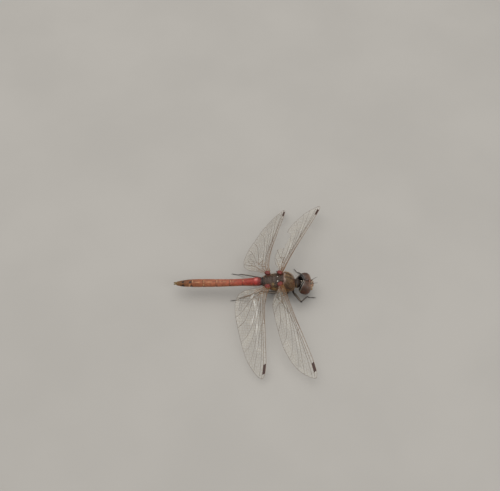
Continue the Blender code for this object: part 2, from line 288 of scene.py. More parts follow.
def mixed(tree, share, first, second, way="MIX"):
    return addNode(tree, "Mix", {0: share, 6: first, 7: second}, data_type="RGBA",
                   blend_type=way).outputs[2]


def sums(tree, way, first, second):
    return addNode(tree, "Math", {0: first, 1: second}, operation=way).outputs[0]


def tone(colour):
    return (*[float(c) for c in colour], 1.0)


def shaded(tree, tint, grain, dark, pale, low=0.3, high=0.7):
    # the painted colour, darker and paler with a grain
    shade = mixed(tree, ranged(tree, grain, low, high), tone(dark), tone(pale))
    return mixed(tree, 1.0, tint, shade, "MULTIPLY")


def bumped(tree, shader, height, depth, strength=1.0):
    made = addNode(tree, "Bump", {"Height": height, "Distance": depth * mm, "Strength": strength})
    tree.links.new(made.outputs["Normal"], shader.inputs["Normal"])


# The body skin: tail, thorax, collar and neck in one run
trunk = {
    "sides": 176,
    "abdomen": [   # x, axis height, half height, half width
        (-27.95, 4.10, 0.53, 0.60), (-27.20, 4.12, 0.72, 0.79), (-26.00, 4.18, 0.91, 0.98),
        (-23.60, 4.34, 1.06, 1.16), (-20.40, 4.42, 1.08, 1.20), (-16.70, 4.44, 1.04, 1.17),
        (-12.90, 4.56, 1.00, 1.10), (-9.30, 4.80, 1.02, 1.08), (-6.60, 5.00, 1.20, 1.18),
        (-5.00, 5.12, 1.26, 1.24), (-3.74, 5.18, 0.98, 1.16),
    ],
    "thorax": [    # x, underside, back, half width
        (-3.62, 4.15, 6.25, 1.40), (-3.20, 3.85, 6.50, 1.75), (-2.20, 3.30, 6.75, 2.25),
        (-0.80, 2.65, 6.95, 2.60), (0.60, 2.10, 7.15, 2.74), (1.70, 1.80, 7.55, 2.76),
        (2.50, 1.62, 8.05, 2.70), (3.60, 1.62, 7.75, 2.50), (4.60, 1.85, 7.05, 2.18),
        (5.30, 2.30, 6.30, 1.72), (5.62, 2.95, 5.55, 1.30),
    ],
    "collar": [(5.82, 3.00, 5.40, 1.38), (6.10, 2.86, 5.50, 1.52), (6.50, 2.92, 5.42, 1.45),
               (6.90, 3.10, 5.22, 1.28), (7.10, 3.40, 4.98, 1.00)],
    "neck": [(7.22, 3.62, 4.86, 0.70), (7.98, 3.98, 5.02, 0.55), (8.30, 4.00, 5.00, 0.50)],
    "tailEnds": (-3.7, -27.95),
    "joints": (-4.60, -6.20, -9.30, -12.90, -16.70, -20.40, -23.60, -26.00, -27.20),
    "rings": [(-27.93, -3.8, 0.075), (-3.8, 5.7, 0.05), (5.7, 8.3, 0.04)],      # from, to, spacing
    "waist": -3.70, "neckSeam": 5.70,      # where the thorax starts and ends
    # how square the belly and the back are, and how high up the widest place lies
    "sections": {"tail": (2.1, 2.1, 0.5), "thorax": (1.75, 2.2, 0.52), "front": (2.0, 2.0, 0.52)},
    "inset": 0.08,
    "coatDepth": 0.16,      # how much deeper the skin lies under the thorax's hair
}


def tailSegments():
    # front and rear end of each segment
    first, last = trunk["tailEnds"]
    return list(zip((first, *trunk["joints"]), (*trunk["joints"], last)))


def trunkRows():
    waist, neckSeam, sections = (trunk[key] for key in ("waist", "neckSeam", "sections"))
    tail = [(x, z - h, z + h, w, *sections["tail"]) for x, z, h, w in trunk["abdomen"]]
    thorax = [(*row, *sections["thorax"]) for row in trunk["thorax"]]
    front = [(*row, *sections["front"]) for row in trunk["collar"] + trunk["neck"]]
    stations = np.concatenate([np.arange(*run) for run in trunk["rings"]])
    columns = np.empty((len(stations), 6))
    for rows, start, stop in ((tail, -math.inf, waist), (thorax, waist, neckSeam),
                              (front, neckSeam, math.inf)):
        table = np.array(rows)
        here = (stations >= start) & (stations < stop)
        for k in range(6):
            columns[here, k] = curve(stations[here], table[:, 0], table[:, k + 1])
    low, high, half, belly, back, shoulder = (columns[:, k:k + 1] for k in range(6))
    turn = np.arange(trunk["sides"]) * 2 * math.pi / trunk["sides"]
    c, s = np.cos(turn)[None], np.sin(turn)[None]
    power = np.where(s > 0, 2 / back, 2 / belly)
    middle = low + (high - low) * shoulder
    reach = np.where(s > 0, high - middle, middle - low)
    rows = np.stack([stations[:, None] + 0 * c, half * np.sign(c) * np.abs(c) ** power,
                     middle + reach * np.sign(s) * np.abs(s) ** power], axis=-1)
    return rows, half, middle


# knobs of the back between the wings: x, y, length, width, height; each is made on both sides
backPlates = [
    (1.50, 0.56, 0.66, 0.52, 0.30), (0.72, 0.00, 0.34, 0.42, 0.26), (0.67, 0.78, 0.16, 0.15, 0.24),
    (0.30, 0.62, 0.22, 0.34, 0.12), (-0.42, 0.62, 0.52, 0.52, 0.20), (-1.25, 0.00, 0.34, 0.42, 0.22),
    (-1.32, 0.74, 0.26, 0.24, 0.12), (-1.98, 0.46, 0.44, 0.42, 0.17), (-2.66, 0.52, 0.26, 0.46, 0.14),
    (-3.12, 0.00, 0.20, 0.70, 0.12),
]
# seams of the side plates, as runs of x, z from the wings down to the legs
sideSeams = {
    "front": ((2.35, 7.6), (3.25, 6.2), (4.15, 4.4), (4.75, 2.7)),
    "middle": ((1.05, 6.9), (1.75, 5.6), (2.55, 4.1), (3.40, 2.3)),
    "rear": ((-0.75, 6.5), (0.20, 5.4), (1.35, 4.0), (2.60, 2.4)),
    "last": ((-2.55, 5.7), (-1.50, 4.7), (0.00, 3.6), (1.60, 2.6)),
}


def seamGap(x, z, run):
    # distance from a seam seen from the side
    run = np.asarray(run)
    best = np.full(np.shape(x), 9.0)
    for a, b in zip(run, run[1:]):
        ab = b - a
        share = np.clip(((x - a[0]) * ab[0] + (z - a[1]) * ab[1]) / (ab @ ab), 0, 1)
        best = np.minimum(best, np.hypot(x - a[0] - ab[0] * share, z - a[1] - ab[1] * share))
    return best


def crestGap(x, y):
    # distance from the curved ridge in front of the forewings
    return np.abs(x - (2.35 + 0.34 * bell(np.abs(y), 1.05, 0.75) - 0.30 * ease(1.3, 2.2, np.abs(y))))


def shapeTrunk(rows, half, middle):
    out = gridNormals(rows)
    x, y, z = rows[..., 0], rows[..., 1], rows[..., 2]
    wide, top, flank = np.abs(y), ease(0.25, 0.8, out[..., 2]), ease(0.3, 0.7, np.abs(out[..., 1]))
    under = ease(0.3, 0.8, -out[..., 2])
    tail, chest = ease(-3.66, -3.72, x), ease(-3.66, -3.5, x) * ease(5.75, 5.65, x)
    push = -trunk["inset"] - trunk["coatDepth"] * ease(-3.4, -2.4, x) * ease(5.72, 5.4, x)
    # tail segments: a fold at each joint, a swollen rear rim, ridges and the belly's edge
    for front, rear in tailSegments():
        length = front - rear
        push = push - 0.075 * bell(x, rear, 0.06) + 0.035 * bell(x, rear + 0.17, 0.10) * (length > 1.5)
        push = push - 0.03 * bell(x, rear - 0.20, 0.16) * (length > 1.5)
        if length > 2:
            push = push + 0.022 * bell(x, front - 0.36 * length, 0.07) * (1 - under)
    push = push + tail * 0.045 * bell(wide, 0, 0.07) * top * ease(-5.5, -7.5, x)
    belowSide = middle - 0.42 * (middle - rows[..., 2].min(axis=1, keepdims=True))
    push = push + tail * 0.05 * bell(z, belowSide, 0.09) * flank * ease(-24.5, -22, x)
    push = push - tail * 0.07 * bell(wide, 0.36 * half, 0.06) * under
    push = (push - tail * 0.13 * under * bell(x, -5.0, 1.1)
            + 0.20 * bell(x, -5.35, 0.35) * bell(y, 0, 0.35) * under)
    # back between the wings, sunk and then built up again by its plates
    hollow = ease(-3.45, -2.9, x) * ease(2.5, 2.15, x) * ease(2.1, 1.55, wide) * top
    push = push - 0.20 * hollow
    plates = np.zeros_like(x)
    for px, py, length, width, height in backPlates:
        far = np.sqrt(((x - px) / length) ** 2 + ((wide - py) / width) ** 2)
        plates = np.maximum(plates, 0.42 * height * np.clip(1 - far ** 2.4, 0, 1) ** 1.1)
    push = push + plates * top
    push = (push - 0.10 * bell(x, 0.33, 0.07) * ease(1.5, 1.1, wide) * top
            - 0.10 * bell(x, -0.92, 0.08) * ease(1.4, 1.0, wide) * top)
    crest = bell(crestGap(x, y), 0, 0.17) * ease(2.25, 1.9, wide) * top
    push = push + 0.16 * crest - 0.12 * bell(x, 2.10, 0.13) * ease(1.9, 1.5, wide) * top
    # keel of the front
    push = push + 0.08 * bell(wide, 0, 0.055) * ease(2.55, 2.75, x) * ease(5.45, 5.2, x) * top
    for run in sideSeams.values():
        gap = seamGap(x, z, run)
        push = push - chest * flank * (0.085 * bell(gap, 0, 0.07) - 0.03 * bell(gap, 0.2, 0.12))
    push = push - 0.10 * bell(x, 5.70, 0.06) + 0.06 * bell(x, 5.98, 0.09) - 0.06 * bell(x, 6.25, 0.08)
    push = push - 0.05 * bell(x, 6.78, 0.06)
    return rows + out * push[..., None], out


# the tail's colour along its length, as x and colour
tailStops = [(-28.0, (122, 92, 48)), (-27.3, (114, 78, 37)), (-26.2, (114, 70, 33)), (-24.4, (118, 68, 35)),
             (-23.4, (136, 76, 46)), (-20.0, (154, 90, 58)), (-16.0, (158, 90, 62)), (-12.5, (157, 82, 58)),
             (-9.5, (154, 62, 46)), (-7.0, (150, 46, 34)), (-5.4, (168, 46, 44)), (-4.4, (132, 34, 34)),
             (-3.9, (40, 24, 22))]
# colours of the body, by place
bodyPaint = {
    "belly": (84, 50, 30), "seam": (34, 20, 16), "spot": (17, 10, 5), "cream": (196, 152, 108),
    # the pale pink is a painted highlight on top of the tail's base
    "paintedPinkHighlight": (232, 140, 134), "flank": (150, 92, 52),
    "back": (50, 35, 26), "plate": (78, 62, 52), "front": (100, 77, 53), "dark": (42, 29, 23),
    "redBrown": (112, 62, 38), "yellow": (168, 138, 78), "pale": (176, 166, 152), "red": (132, 34, 28),
    "collar": (38, 28, 24), "underside": (88, 64, 45), "white": (222, 216, 204), "khaki": (120, 97, 65),
    "ash": (72, 58, 49), "crest": (166, 149, 139), "rust": (116, 64, 36),
}
# black spots near the tail's tip: x, y, half length, half width
tailSpots = [(-26.05, -0.06, 0.38, 0.31), (-26.08, -0.95, 0.40, 0.30), (-23.98, -0.26, 0.38, 0.30),
             (-26.05, 0.88, 0.28, 0.18), (-23.70, -1.12, 0.26, 0.16), (-23.95, 1.02, 0.24, 0.18)]
# cream flecks along the tail: x, y, half length, half width
tailFlecks = [(-24.20, -0.92, 0.26, 0.20), (-23.35, 0.0, 0.12, 0.60), (-20.15, -0.10, 0.12, 0.46),
              (-16.45, 0.02, 0.13, 0.50), (-15.5, -0.18, 0.16, 0.12), (-12.65, -0.05, 0.14, 0.30),
              (-11.9, -0.08, 0.12, 0.26), (-9.05, 0.0, 0.12, 0.34), (-18.6, -0.30, 0.9, 0.09),
              (-22.0, -0.36, 0.8, 0.09), (-20.2, -0.95, 0.2, 0.16), (-14.3, -0.2, 0.5, 0.07)]


def sideBar(x, wide, z):
    # a pale bar that slants down each side behind the shoulder
    barX = 1.85 + (5.8 - z) * 0.55
    return bell(x, barX, 0.17) * ease(1.3, 1.6, wide) * ease(4.3, 4.6, z) * ease(6.5, 6.1, z)


def trunkTints(rows, out, half, middle):
    x, y, z = rows[..., 0], rows[..., 1], rows[..., 2]
    wide, top, flank = np.abs(y), ease(0.15, 0.7, out[..., 2]), ease(0.25, 0.65, np.abs(out[..., 1]))
    under = ease(0.15, 0.7, -out[..., 2])
    p = paints(bodyPaint)
    places, colours = [at for at, _ in tailStops], np.array([paint(*colour) for _, colour in tailStops])
    tail = np.stack([np.interp(x, places, colours[:, k]) for k in range(3)], -1)
    tail = layered(tail, p, (
        ("flank", 0.60 * flank * ease(middle + 0.5, middle - 0.1, z) * ease(-4.4, -5.2, x)),
        # the underside darker brown: partly its own colour, partly painted shade
        ("belly", 0.85 * ease(middle - 0.15 * half, middle - 0.65 * half, z)),
        # painted highlight: a pale pink spot on top of the tail's base
        ("paintedPinkHighlight", 0.90 * bell(x, -5.35, 0.45) * bell(y, 0.10, 0.50) * top),
    ))
    tail = tail * (1 - 0.30 * bell(wide, 0, 0.05) * top * ease(-6, -8, x))[..., None]
    for front, rear in tailSegments():
        tail = blendTint(tail, p["seam"], 0.75 * bell(x, rear, 0.055))
        mark = (bell(x, rear + 0.24, 0.24) * bell(z, middle + 0.05 * half, 0.24) * flank
                * (front - rear > 1.5))
        tail = blendTint(tail, p["spot"], 0.85 * mark * ease(-4.5, -8, x))
    tail = blendTint(tail, p["spot"], 0.8 * bell(wide, 0.36 * half, 0.07) * under)
    for place in tailFlecks:
        tail = blendTint(tail, p["cream"], 0.7 * blot(x, y, place, 1.25, 0.6) * (z > middle - 0.3))
    for place in tailSpots:
        tail = blendTint(tail, p["spot"], 0.95 * blot(x, y, place, 1.2, 0.75) * (z > middle - 0.3))
    # thorax
    chest = layered(washed(p["redBrown"], tail), p, (
        ("front", ease(2.3, 2.7, x) * top),
        ("back", ease(2.45, 2.2, x) * top),
        ("dark", 0.75 * bell(x, 3.4, 0.55) * bell(wide, 1.25, 0.38) * top),
        ("dark", 0.75 * bell(wide, 0, 0.20) * ease(2.6, 2.9, x) * top),
        ("khaki", 0.80 * bell(wide, 0.60, 0.24) * ease(2.7, 3.1, x) * ease(5.3, 4.8, x) * top),
        ("khaki", 0.75 * bell(x, 3.8, 0.8) * bell(wide, 1.75, 0.35) * top),
        ("rust", 0.85 * bell(x, 4.7, 0.5) * bell(wide, 1.35, 0.40) * (1 - 0.7 * under)),
    ))
    panel = flank * (1 - 0.8 * top)
    gapFront, gapMiddle, gapRear, gapLast = (seamGap(x, z, run) for run in sideSeams.values())
    acrossSeams = x + 0.46 * z      # grows forward across the slanted seams
    chest = layered(chest, p, (
        ("yellow", 0.85 * panel * bell(acrossSeams, 5.0, 0.42)),
        ("yellow", 0.85 * panel * bell(acrossSeams, 2.15, 0.62)),
        ("front", 0.7 * panel * ease(5.6, 6.1, acrossSeams)),
    ))
    for gap, width in ((gapFront, 0.10), (gapMiddle, 0.07), (gapRear, 0.11), (gapLast, 0.08)):
        chest = blendTint(chest, p["spot"], 0.88 * bell(gap, 0, width) * panel)
    chest = layered(chest, p, (
        ("underside", 0.8 * under),
        ("collar", 0.85 * ease(4.95, 5.25, x) * ease(1.7, 1.3, wide) * top),
    ))
    plates = np.zeros_like(x)
    for *place, _ in backPlates:
        plates = np.maximum(plates, blot(x, wide, place, 1.0, 0.7))
    chest = layered(chest, p, (
        ("dark", 0.60 * (1 - plates) * ease(2.4, 2.2, x) * top),
        ("plate", 0.50 * plates * top * ease(2.3, 2.1, x)),
        ("ash", 0.60 * blot(x, wide, (-0.95, 0, 1.15, 0.95), outer=1.2) * top),
        ("spot", 0.60 * bell(x, 0.62, 0.42) * bell(wide, 0.75, 0.55) * top),
        ("white", blot(x, wide, (0.67, 0.78, 0.18, 0.17), inner=0.7) * top),
        ("crest", 0.85 * bell(crestGap(x, y), 0, 0.24) * bell(wide, 1.0, 0.95) * top),
        ("pale", 0.9 * sideBar(x, wide, z)),
    ))
    for sx in (1.5, -1.9):
        chest = blendTint(chest, p["red"],
                          0.9 * bell(x, sx, 0.50) * ease(1.15, 1.55, wide) * ease(4.9, 5.6, z))
    chest = layered(chest, p, (
        ("yellow", 0.75 * bell(x, -0.62, 0.25) * bell(y, -1.5, 0.35) * top),
        ("cream", 0.9 * blot(x, y, (-3.22, 1.0, 0.26, 0.18)) * top),
        ("spot", 0.8 * ease(-3.0, -3.5, x) * (1 - 0.6 * under)),
    ))
    collar = layered(washed(p["collar"], tail), p, (
        ("yellow", 0.35 * bell(x, 6.0, 0.10) * flank),
        ("white", 0.75 * bell(x, 5.98, 0.17) * bell(z, 3.75, 0.40) * flank),
        ("spot", 0.7 * ease(6.9, 7.3, x)),
    ))
    tints = blendTint(tail, chest, ease(-3.75, -3.65, x))
    return blendTint(tints, collar, ease(5.62, 5.72, x))


def cuticleFinish():
    finish, tree, shader, place, tint = startFinish("cuticle", Roughness=0.42, IOR=1.42)
    broad, fine = noise(tree, place, 0.55, 4.0), noise(tree, place, 0.14, 3.0)
    flecks = cells(tree, place, 0.16)
    colour = shaded(tree, tint, broad, (0.72,) * 3, (1.22,) * 3, high=0.72)
    lift = mixed(tree, ranged(tree, fine, 0.50, 0.78, 0.0, 0.22), colour, tone(paint(196, 150, 112)))
    pits = mixed(tree, 1.0, lift, tone((0.45, 0.42, 0.40)), "MULTIPLY")
    colour = mixed(tree, ranged(tree, flecks, 0.20, 0.02, 0.0, 0.45), lift, pits)
    wear(tree, shader, colour, fine, (0.3, 0.7), (0.34, 0.56))
    height = sums(tree, "ADD", sums(tree, "MULTIPLY", flecks, 0.6), sums(tree, "MULTIPLY", fine, 0.8))
    bumped(tree, shader, height, 0.035, 0.7)
    return finish


def makeTrunk(finish):
    rows, half, middle = trunkRows()
    rows, out = shapeTrunk(rows, half, middle)
    tints = trunkTints(rows, out, half, middle)
    stands = ["thorax", "prothorax", "neck"] + [f"abdomen_{n:02d}" for n in range(1, 11)]
    ringPiece("body_skin", rows, tints, stands, finish)
    print("body skin done")
    return rows, out, tints


# The head: eyes, head shell, face, mouthparts and feelers
head = {
    "eyeCentre": (8.40, 1.36, 4.18), "eyeRadii": (1.80, 1.82, 2.12), "eyeTurn": 16, "eyeLean": 10,
    "eyeFullness": 2.3, "eyeInset": 0.03, "seamGap": 0.015,
    "shellCentre": (8.75, 0.0, 3.50), "shellRadii": (1.40, 2.25, 1.92), "shellInset": 0.05,
    "napeCentre": (6.35, 0.0, 4.75), "napeRadii": (1.90, 1.95, 2.10),
    "faceCentre": (9.72, 0.0, 3.70), "faceRadii": (1.28, 1.46, 1.42), "faceFullness": 2.6,
    "mouthCentre": (9.62, 0.0, 2.45), "mouthRadii": (1.05, 1.25, 0.92),
    # small parts: middle and radii; lobe and jaw are on both sides
    # the left lobe is painted lit and the right one darker, as painted shade
    "lobe": ((7.48, 0.42, 4.82), (0.20, 0.17, 0.17)), "lobePaintedLight": {1: 1.0, -1: 0.35},
    "plate": ((8.26, 0.0, 5.46), (0.40, 0.34, 0.26)), "knob": ((9.84, 0.0, 5.10), (0.40, 0.43, 0.36)),
    "jaw": ((10.22, 0.98, 2.78), (0.44, 0.30, 0.46)),
    "simpleEyes": (((10.21, 0.0, 5.16), 0.12), ((9.86, 0.42, 5.22), 0.10), ((9.86, -0.42, 5.22), 0.10)),
    "rimPaintedLight": {1: 0.30, -1: 0.9},      # the pale rim, partly painted highlight, is painted dimmer on the left as painted shade
}


def clearNape(points):
    # pushes what reaches into the hollow of the nape forward to its wall
    centre, radii = np.array(head["napeCentre"]), np.array(head["napeRadii"])
    local = (points - centre) / radii
    across = local[..., 1] ** 2 + local[..., 2] ** 2
    wall = centre[0] + radii[0] * np.sqrt(np.clip(1 - across, 0, 1))
    depth = np.where(across < 1, wall - points[..., 0], -1.0)
    points = points.copy()
    points[..., 0] = np.where(depth > 0, wall, points[..., 0])
    return points, depth


def turned(rows, angle, first, second):
    # turned from the first axis towards the second
    c, s = math.cos(angle), math.sin(angle)
    x, y, spun = rows[..., first], rows[..., second], rows.copy()
    spun[..., first], spun[..., second] = c * x - s * y, s * x + c * y
    return spun


def eyeMargin(y):
    # how far back the facets reach, seen from above: a crescent
    wide = np.abs(y)
    return 8.50 - 0.20 * wide - 0.115 * wide ** 2


def eyeFinish():
    look = {"Roughness": 0.34, "IOR": 1.45, "Coat_Weight": 0.14, "Coat_Roughness": 0.18}
    finish, tree, shader, place, tint = startFinish("eye", **look)
    facets = cells(tree, place, 0.050)
    cloud = noise(tree, place, 0.8, 4.0)
    spots = noise(tree, place, 0.20, 3.0)
    colour = shaded(tree, tint, cloud, (0.70, 0.68, 0.68), (1.22, 1.20, 1.16), 0.32, 0.70)
    colour = mixed(tree, ranged(tree, spots, 0.56, 0.72, 0.0, 0.50), colour, tone(paint(40, 20, 14)))
    colour = mixed(tree, ranged(tree, facets, 0.35, 0.75, 0.0, 0.35), colour, tone(paint(28, 15, 12)))
    wear(tree, shader, colour, facets, (0.0, 0.8), (0.28, 0.46))
    bumped(tree, shader, facets, -0.02, 0.45)
    return finish


# the paler brown of the eyes' upper front is a painted sheen
eyePaint = {"crown": (76, 49, 34), "paintedSheen": (160, 126, 104), "chestnut": (80, 38, 16),
            # the near-white rim colour is partly painted highlight
            "olive": (92, 76, 44), "rim": (228, 218, 204), "rear": (17, 13, 12),
            "patch": (168, 150, 108), "edge": (40, 20, 16)}


def makeEyes(finish):
    p = paints(eyePaint)
    for side, word in bothSides:
        turn, lean = math.radians(side * head["eyeTurn"]), math.radians(side * head["eyeLean"])
        rows = ball((0, 0, 0), np.array(head["eyeRadii"]) - head["eyeInset"], rings=130, sides=216,
                    fullness=head["eyeFullness"])
        rows = turned(turned(rows, lean, 1, 2), turn, 0, 1)
        outward = unit(rows)
        rows = rows + np.array(head["eyeCentre"]) * (1, side, 1)
        rows[..., 1] = side * np.maximum(side * rows[..., 1], head["seamGap"])
        ahead = rows[..., 0] - eyeMargin(rows[..., 1])      # in front of the facets' rear edge
        seam = side * rows[..., 1] - head["seamGap"]
        sink = 0.055 * ease(0.02, -0.05, ahead) - 0.03 * bell(ahead, -0.10, 0.05)
        rows = rows - outward * sink[..., None]
        rows, hollow = clearNape(rows)
        x, y, z = rows[..., 0], rows[..., 1], rows[..., 2]
        tints = blendTint(washed(p["chestnut"], rows), p["crown"], ease(4.3, 5.5, z))
        # a paler grey-brown painted sheen on the upper front of each eye
        sheenMask = bell(x, 9.6, 0.80) * bell(z, 5.15, 0.85) * bell(side * y, 1.3, 1.0)
        tints = layered(tints, p, (
            ("paintedSheen", 0.75 * sheenMask),
            ("olive", 0.9 * ease(3.8, 2.7, z)),
            ("edge", 0.6 * bell(ahead, 0.10, 0.12) + 0.5 * bell(seam, 0, 0.05)),
        ))
        behind = ease(0.02, -0.03, ahead)
        tints = layered(tints, p, (
            ("rear", behind),
            ("patch", 0.9 * behind * bell(z, 4.15, 0.30) * ease(2.25, 2.45, side * y)),
            ("patch", 0.9 * behind * bell(z, 2.95, 0.26) * ease(1.6, 1.9, side * y)),
        ))
        # near-white rim lines along the nape edge and the facets' rear edge: a pale rim, partly painted
        # highlight, dimmed on the left as painted shade
        ridge = head["rimPaintedLight"][side]
        tints = layered(tints, p, (
            ("rim", ridge * bell(hollow, -0.05, 0.075) * (hollow > -0.9) * ease(3.6, 4.2, z)),
            ("rim", 0.8 * ridge * bell(ahead, -0.04, 0.05) * ease(4.3, 4.8, z)),
            # the wall of the nape hollow nearly black: its own black, deepened as painted shade
            ("rear", ease(0.05, 0.15, hollow)),
        ))
        ringPiece(f"compound_eye_{word}", rows, np.clip(tints, 0, 1), [f"eye_{word}"], finish)
    print("eyes done")


facePaint = {"frons": (158, 126, 98), "flush": (112, 66, 48), "cream": (222, 206, 178),
             "clypeus": (160, 136, 94), "lip": (150, 118, 76), "line": (26, 17, 14), "groove": (74, 46, 30),
             "gena": (112, 88, 56), "lobe": (206, 194, 180), "jaw": (150, 114, 68), "black": (24, 18, 16),
             "simpleEye": (190, 160, 112)}


def faceFinish():
    look = {"Roughness": 0.28, "IOR": 1.5, "Coat_Weight": 0.35, "Coat_Roughness": 0.12}
    finish, tree, shader, place, tint = startFinish("face", **look)
    mottle, pores = noise(tree, place, 0.30, 4.0), cells(tree, place, 0.11)
    colour = shaded(tree, tint, mottle, (0.74, 0.71, 0.68), (1.22, 1.20, 1.15))
    colour = mixed(tree, ranged(tree, pores, 0.16, 0.02, 0.0, 0.45), colour, tone(paint(52, 31, 21)))
    wear(tree, shader, colour, mottle, (0.3, 0.7), (0.22, 0.40))
    bumped(tree, shader, sums(tree, "ADD", pores, mottle), 0.02, 0.5)
    return finish


def makeHeadShell(finish):
    p = paints({**facePaint, **eyePaint})
    store = newStore()
    rows = ball(head["shellCentre"], np.array(head["shellRadii"]) - head["shellInset"], rings=70, sides=110)
    rows, hollow = clearNape(rows)
    x, y, z = rows[..., 0], np.abs(rows[..., 1]), rows[..., 2]
    tints = layered(washed(p["gena"], rows), p, (
        ("rear", ease(8.7, 8.2, x)),
        ("patch", 0.9 * ease(8.3, 8.0, x) * bell(z, 2.35, 0.22) * bell(y, 1.15, 0.34)),
        # the wall of the nape hollow nearly black: its own black, deepened as painted shade
        ("rear", ease(0.0, 0.08, hollow)),
    ))
    putRings(store, rows, tints)
    for side in (-1, 1):      # two pale lobes on top of the neck
        middle, radii = head["lobe"]
        lobe = ball(np.array(middle) * (1, side, 1), radii, rings=18, sides=24)
        # the right lobe's colour is dimmed as painted shade
        putRings(store, lobe, p["lobe"] * head["lobePaintedLight"][side])
    # the small three-cornered plate behind the seam of the eyes
    plate = ball(*head["plate"], rings=24, sides=32)
    plate[..., 1] *= 1 - 0.55 * ease(8.1, 8.66, plate[..., 0])
    # a near-white line along the plate's back edge: a pale rim, partly painted highlight
    plateTints = blendTint(washed(p["flush"], plate), p["rim"], 0.8 * bell(plate[..., 0], 7.98, 0.10))
    putRings(store, plate, plateTints)
    # the knob in front of the seam, notched on top, with its three simple eyes
    knob = ball(*head["knob"], rings=32, sides=40, fullness=2.2)
    humps = 0.08 * bell(np.abs(knob[..., 1]), 0.20, 0.13) - 0.03 * bell(knob[..., 1], 0, 0.06)
    knob[..., 2] += humps * (knob[..., 2] > 5.15)
    knobTints = blendTint(washed(p["black"], knob), p["flush"], 0.85 * ease(5.16, 5.32, knob[..., 2]))
    putRings(store, knob, knobTints)
    for spot, radius in head["simpleEyes"]:
        inward = 0.03 * np.array([1, np.sign(spot[1]), 1])
        putRings(store, ball(spot, (radius,) * 3, rings=14, sides=20), p["simpleEye"])
        putRings(store, ball(spot - inward, (radius * 1.25,) * 3, rings=12, sides=18), p["black"])
    finishPiece("head_shell", store, ["head_capsule"], finish)
    print("head shell done")


# the face from brow to lip: height on it (-1 to 1), how far it stands back
faceSteps = [(-1.0, 0.10), (-0.90, 0.06), (-0.74, 0.040), (-0.60, 0.065), (-0.56, 0.125), (-0.52, 0.105),
             (-0.42, 0.100), (-0.37, 0.135), (-0.32, 0.060), (-0.16, 0.040), (-0.02, 0.060), (0.03, 0.115),
             (0.08, 0.050), (0.30, 0.015), (0.60, 0.020), (0.85, 0.035), (1.0, 0.06)]


def makeFace(finish):
    p = paints(facePaint)
    centre, radii = np.array(head["faceCentre"]), np.array(head["faceRadii"])
    rows = ball(centre, radii, rings=150, sides=220, fullness=head["faceFullness"])
    local = (rows - centre) / radii
    h, across, frontness = local[..., 2], np.abs(rows[..., 1]), ease(-0.2, 0.3, local[..., 0])
    # the steps bow down at the sides, and the grooves follow them
    level = h + 0.10 * (across / 1.3) ** 2
    stand = curve(level, [s[0] for s in faceSteps], [s[1] for s in faceSteps])
    # furrow of the brow
    stand = stand + 0.055 * bell(across, 0, 0.07) * ease(0.12, 0.30, level) * ease(1.0, 0.7, level)
    stand = stand + 0.030 * bell(level, 0.62, 0.05) * bell(across, 0.5, 0.35)
    # cheeks
    stand = stand + 0.075 * bell(across, 0.98 - 0.25 * (level < -0.56), 0.05) * ease(0.0, -0.05, level)
    stand = stand + 0.05 * bell(across, 0, 0.09) * bell(level, -0.70, 0.08)      # pit of the upper lip
    stand = stand - 0.02 * bell(across, 0.55, 0.25) * bell(level, 0.35, 0.25)
    rows = centre + (rows - centre) * (1 - (0.02 + stand * frontness)[..., None])
    tints = layered(washed(p["frons"], rows), p, (
        ("flush", ease(0.30, 0.80, level) * bell(across, 0, 0.85)),
        ("cream", 0.85 * bell(across, 1.12, 0.26) * bell(level, 0.20, 0.26)),
        # pale cream spots high on the brow: pale marks, partly painted highlight
        ("cream", 0.80 * bell(across, 0.38, 0.17) * bell(level, 0.76, 0.12)),
        ("clypeus", ease(0.04, -0.02, level)),
        ("cream", 0.35 * bell(level, -0.15, 0.09) * bell(across, 0.55, 0.30)),
        ("flush", 0.35 * bell(level, -0.44, 0.05)),
        ("lip", ease(-0.53, -0.58, level)),
        ("groove", 0.75 * bell(level, 0.03, 0.035) + 0.6 * bell(level, -0.56, 0.03)
         + 0.55 * bell(level, -0.37, 0.025)),
    ))
    edge = level + 0.04 * bell(across, 0, 0.3)
    tints = layered(tints, p, (
        ("groove", ease(0.90, 0.95, edge)),
        ("line", 0.9 * bell(edge, 0.93, 0.03)),
        # pale cream spot at the brow's top: pale marks, partly painted highlight
        ("cream", 0.85 * bell(across, 0.34, 0.13) * bell(level, 0.93, 0.08)),
        ("line", 0.5 * bell(across, 0, 0.10) * bell(level, -0.70, 0.08)),
    ))
    ringPiece("face_mask", rows, np.clip(tints, 0, 1), ["face"], finish)
    print("face done")
    return rows, tints


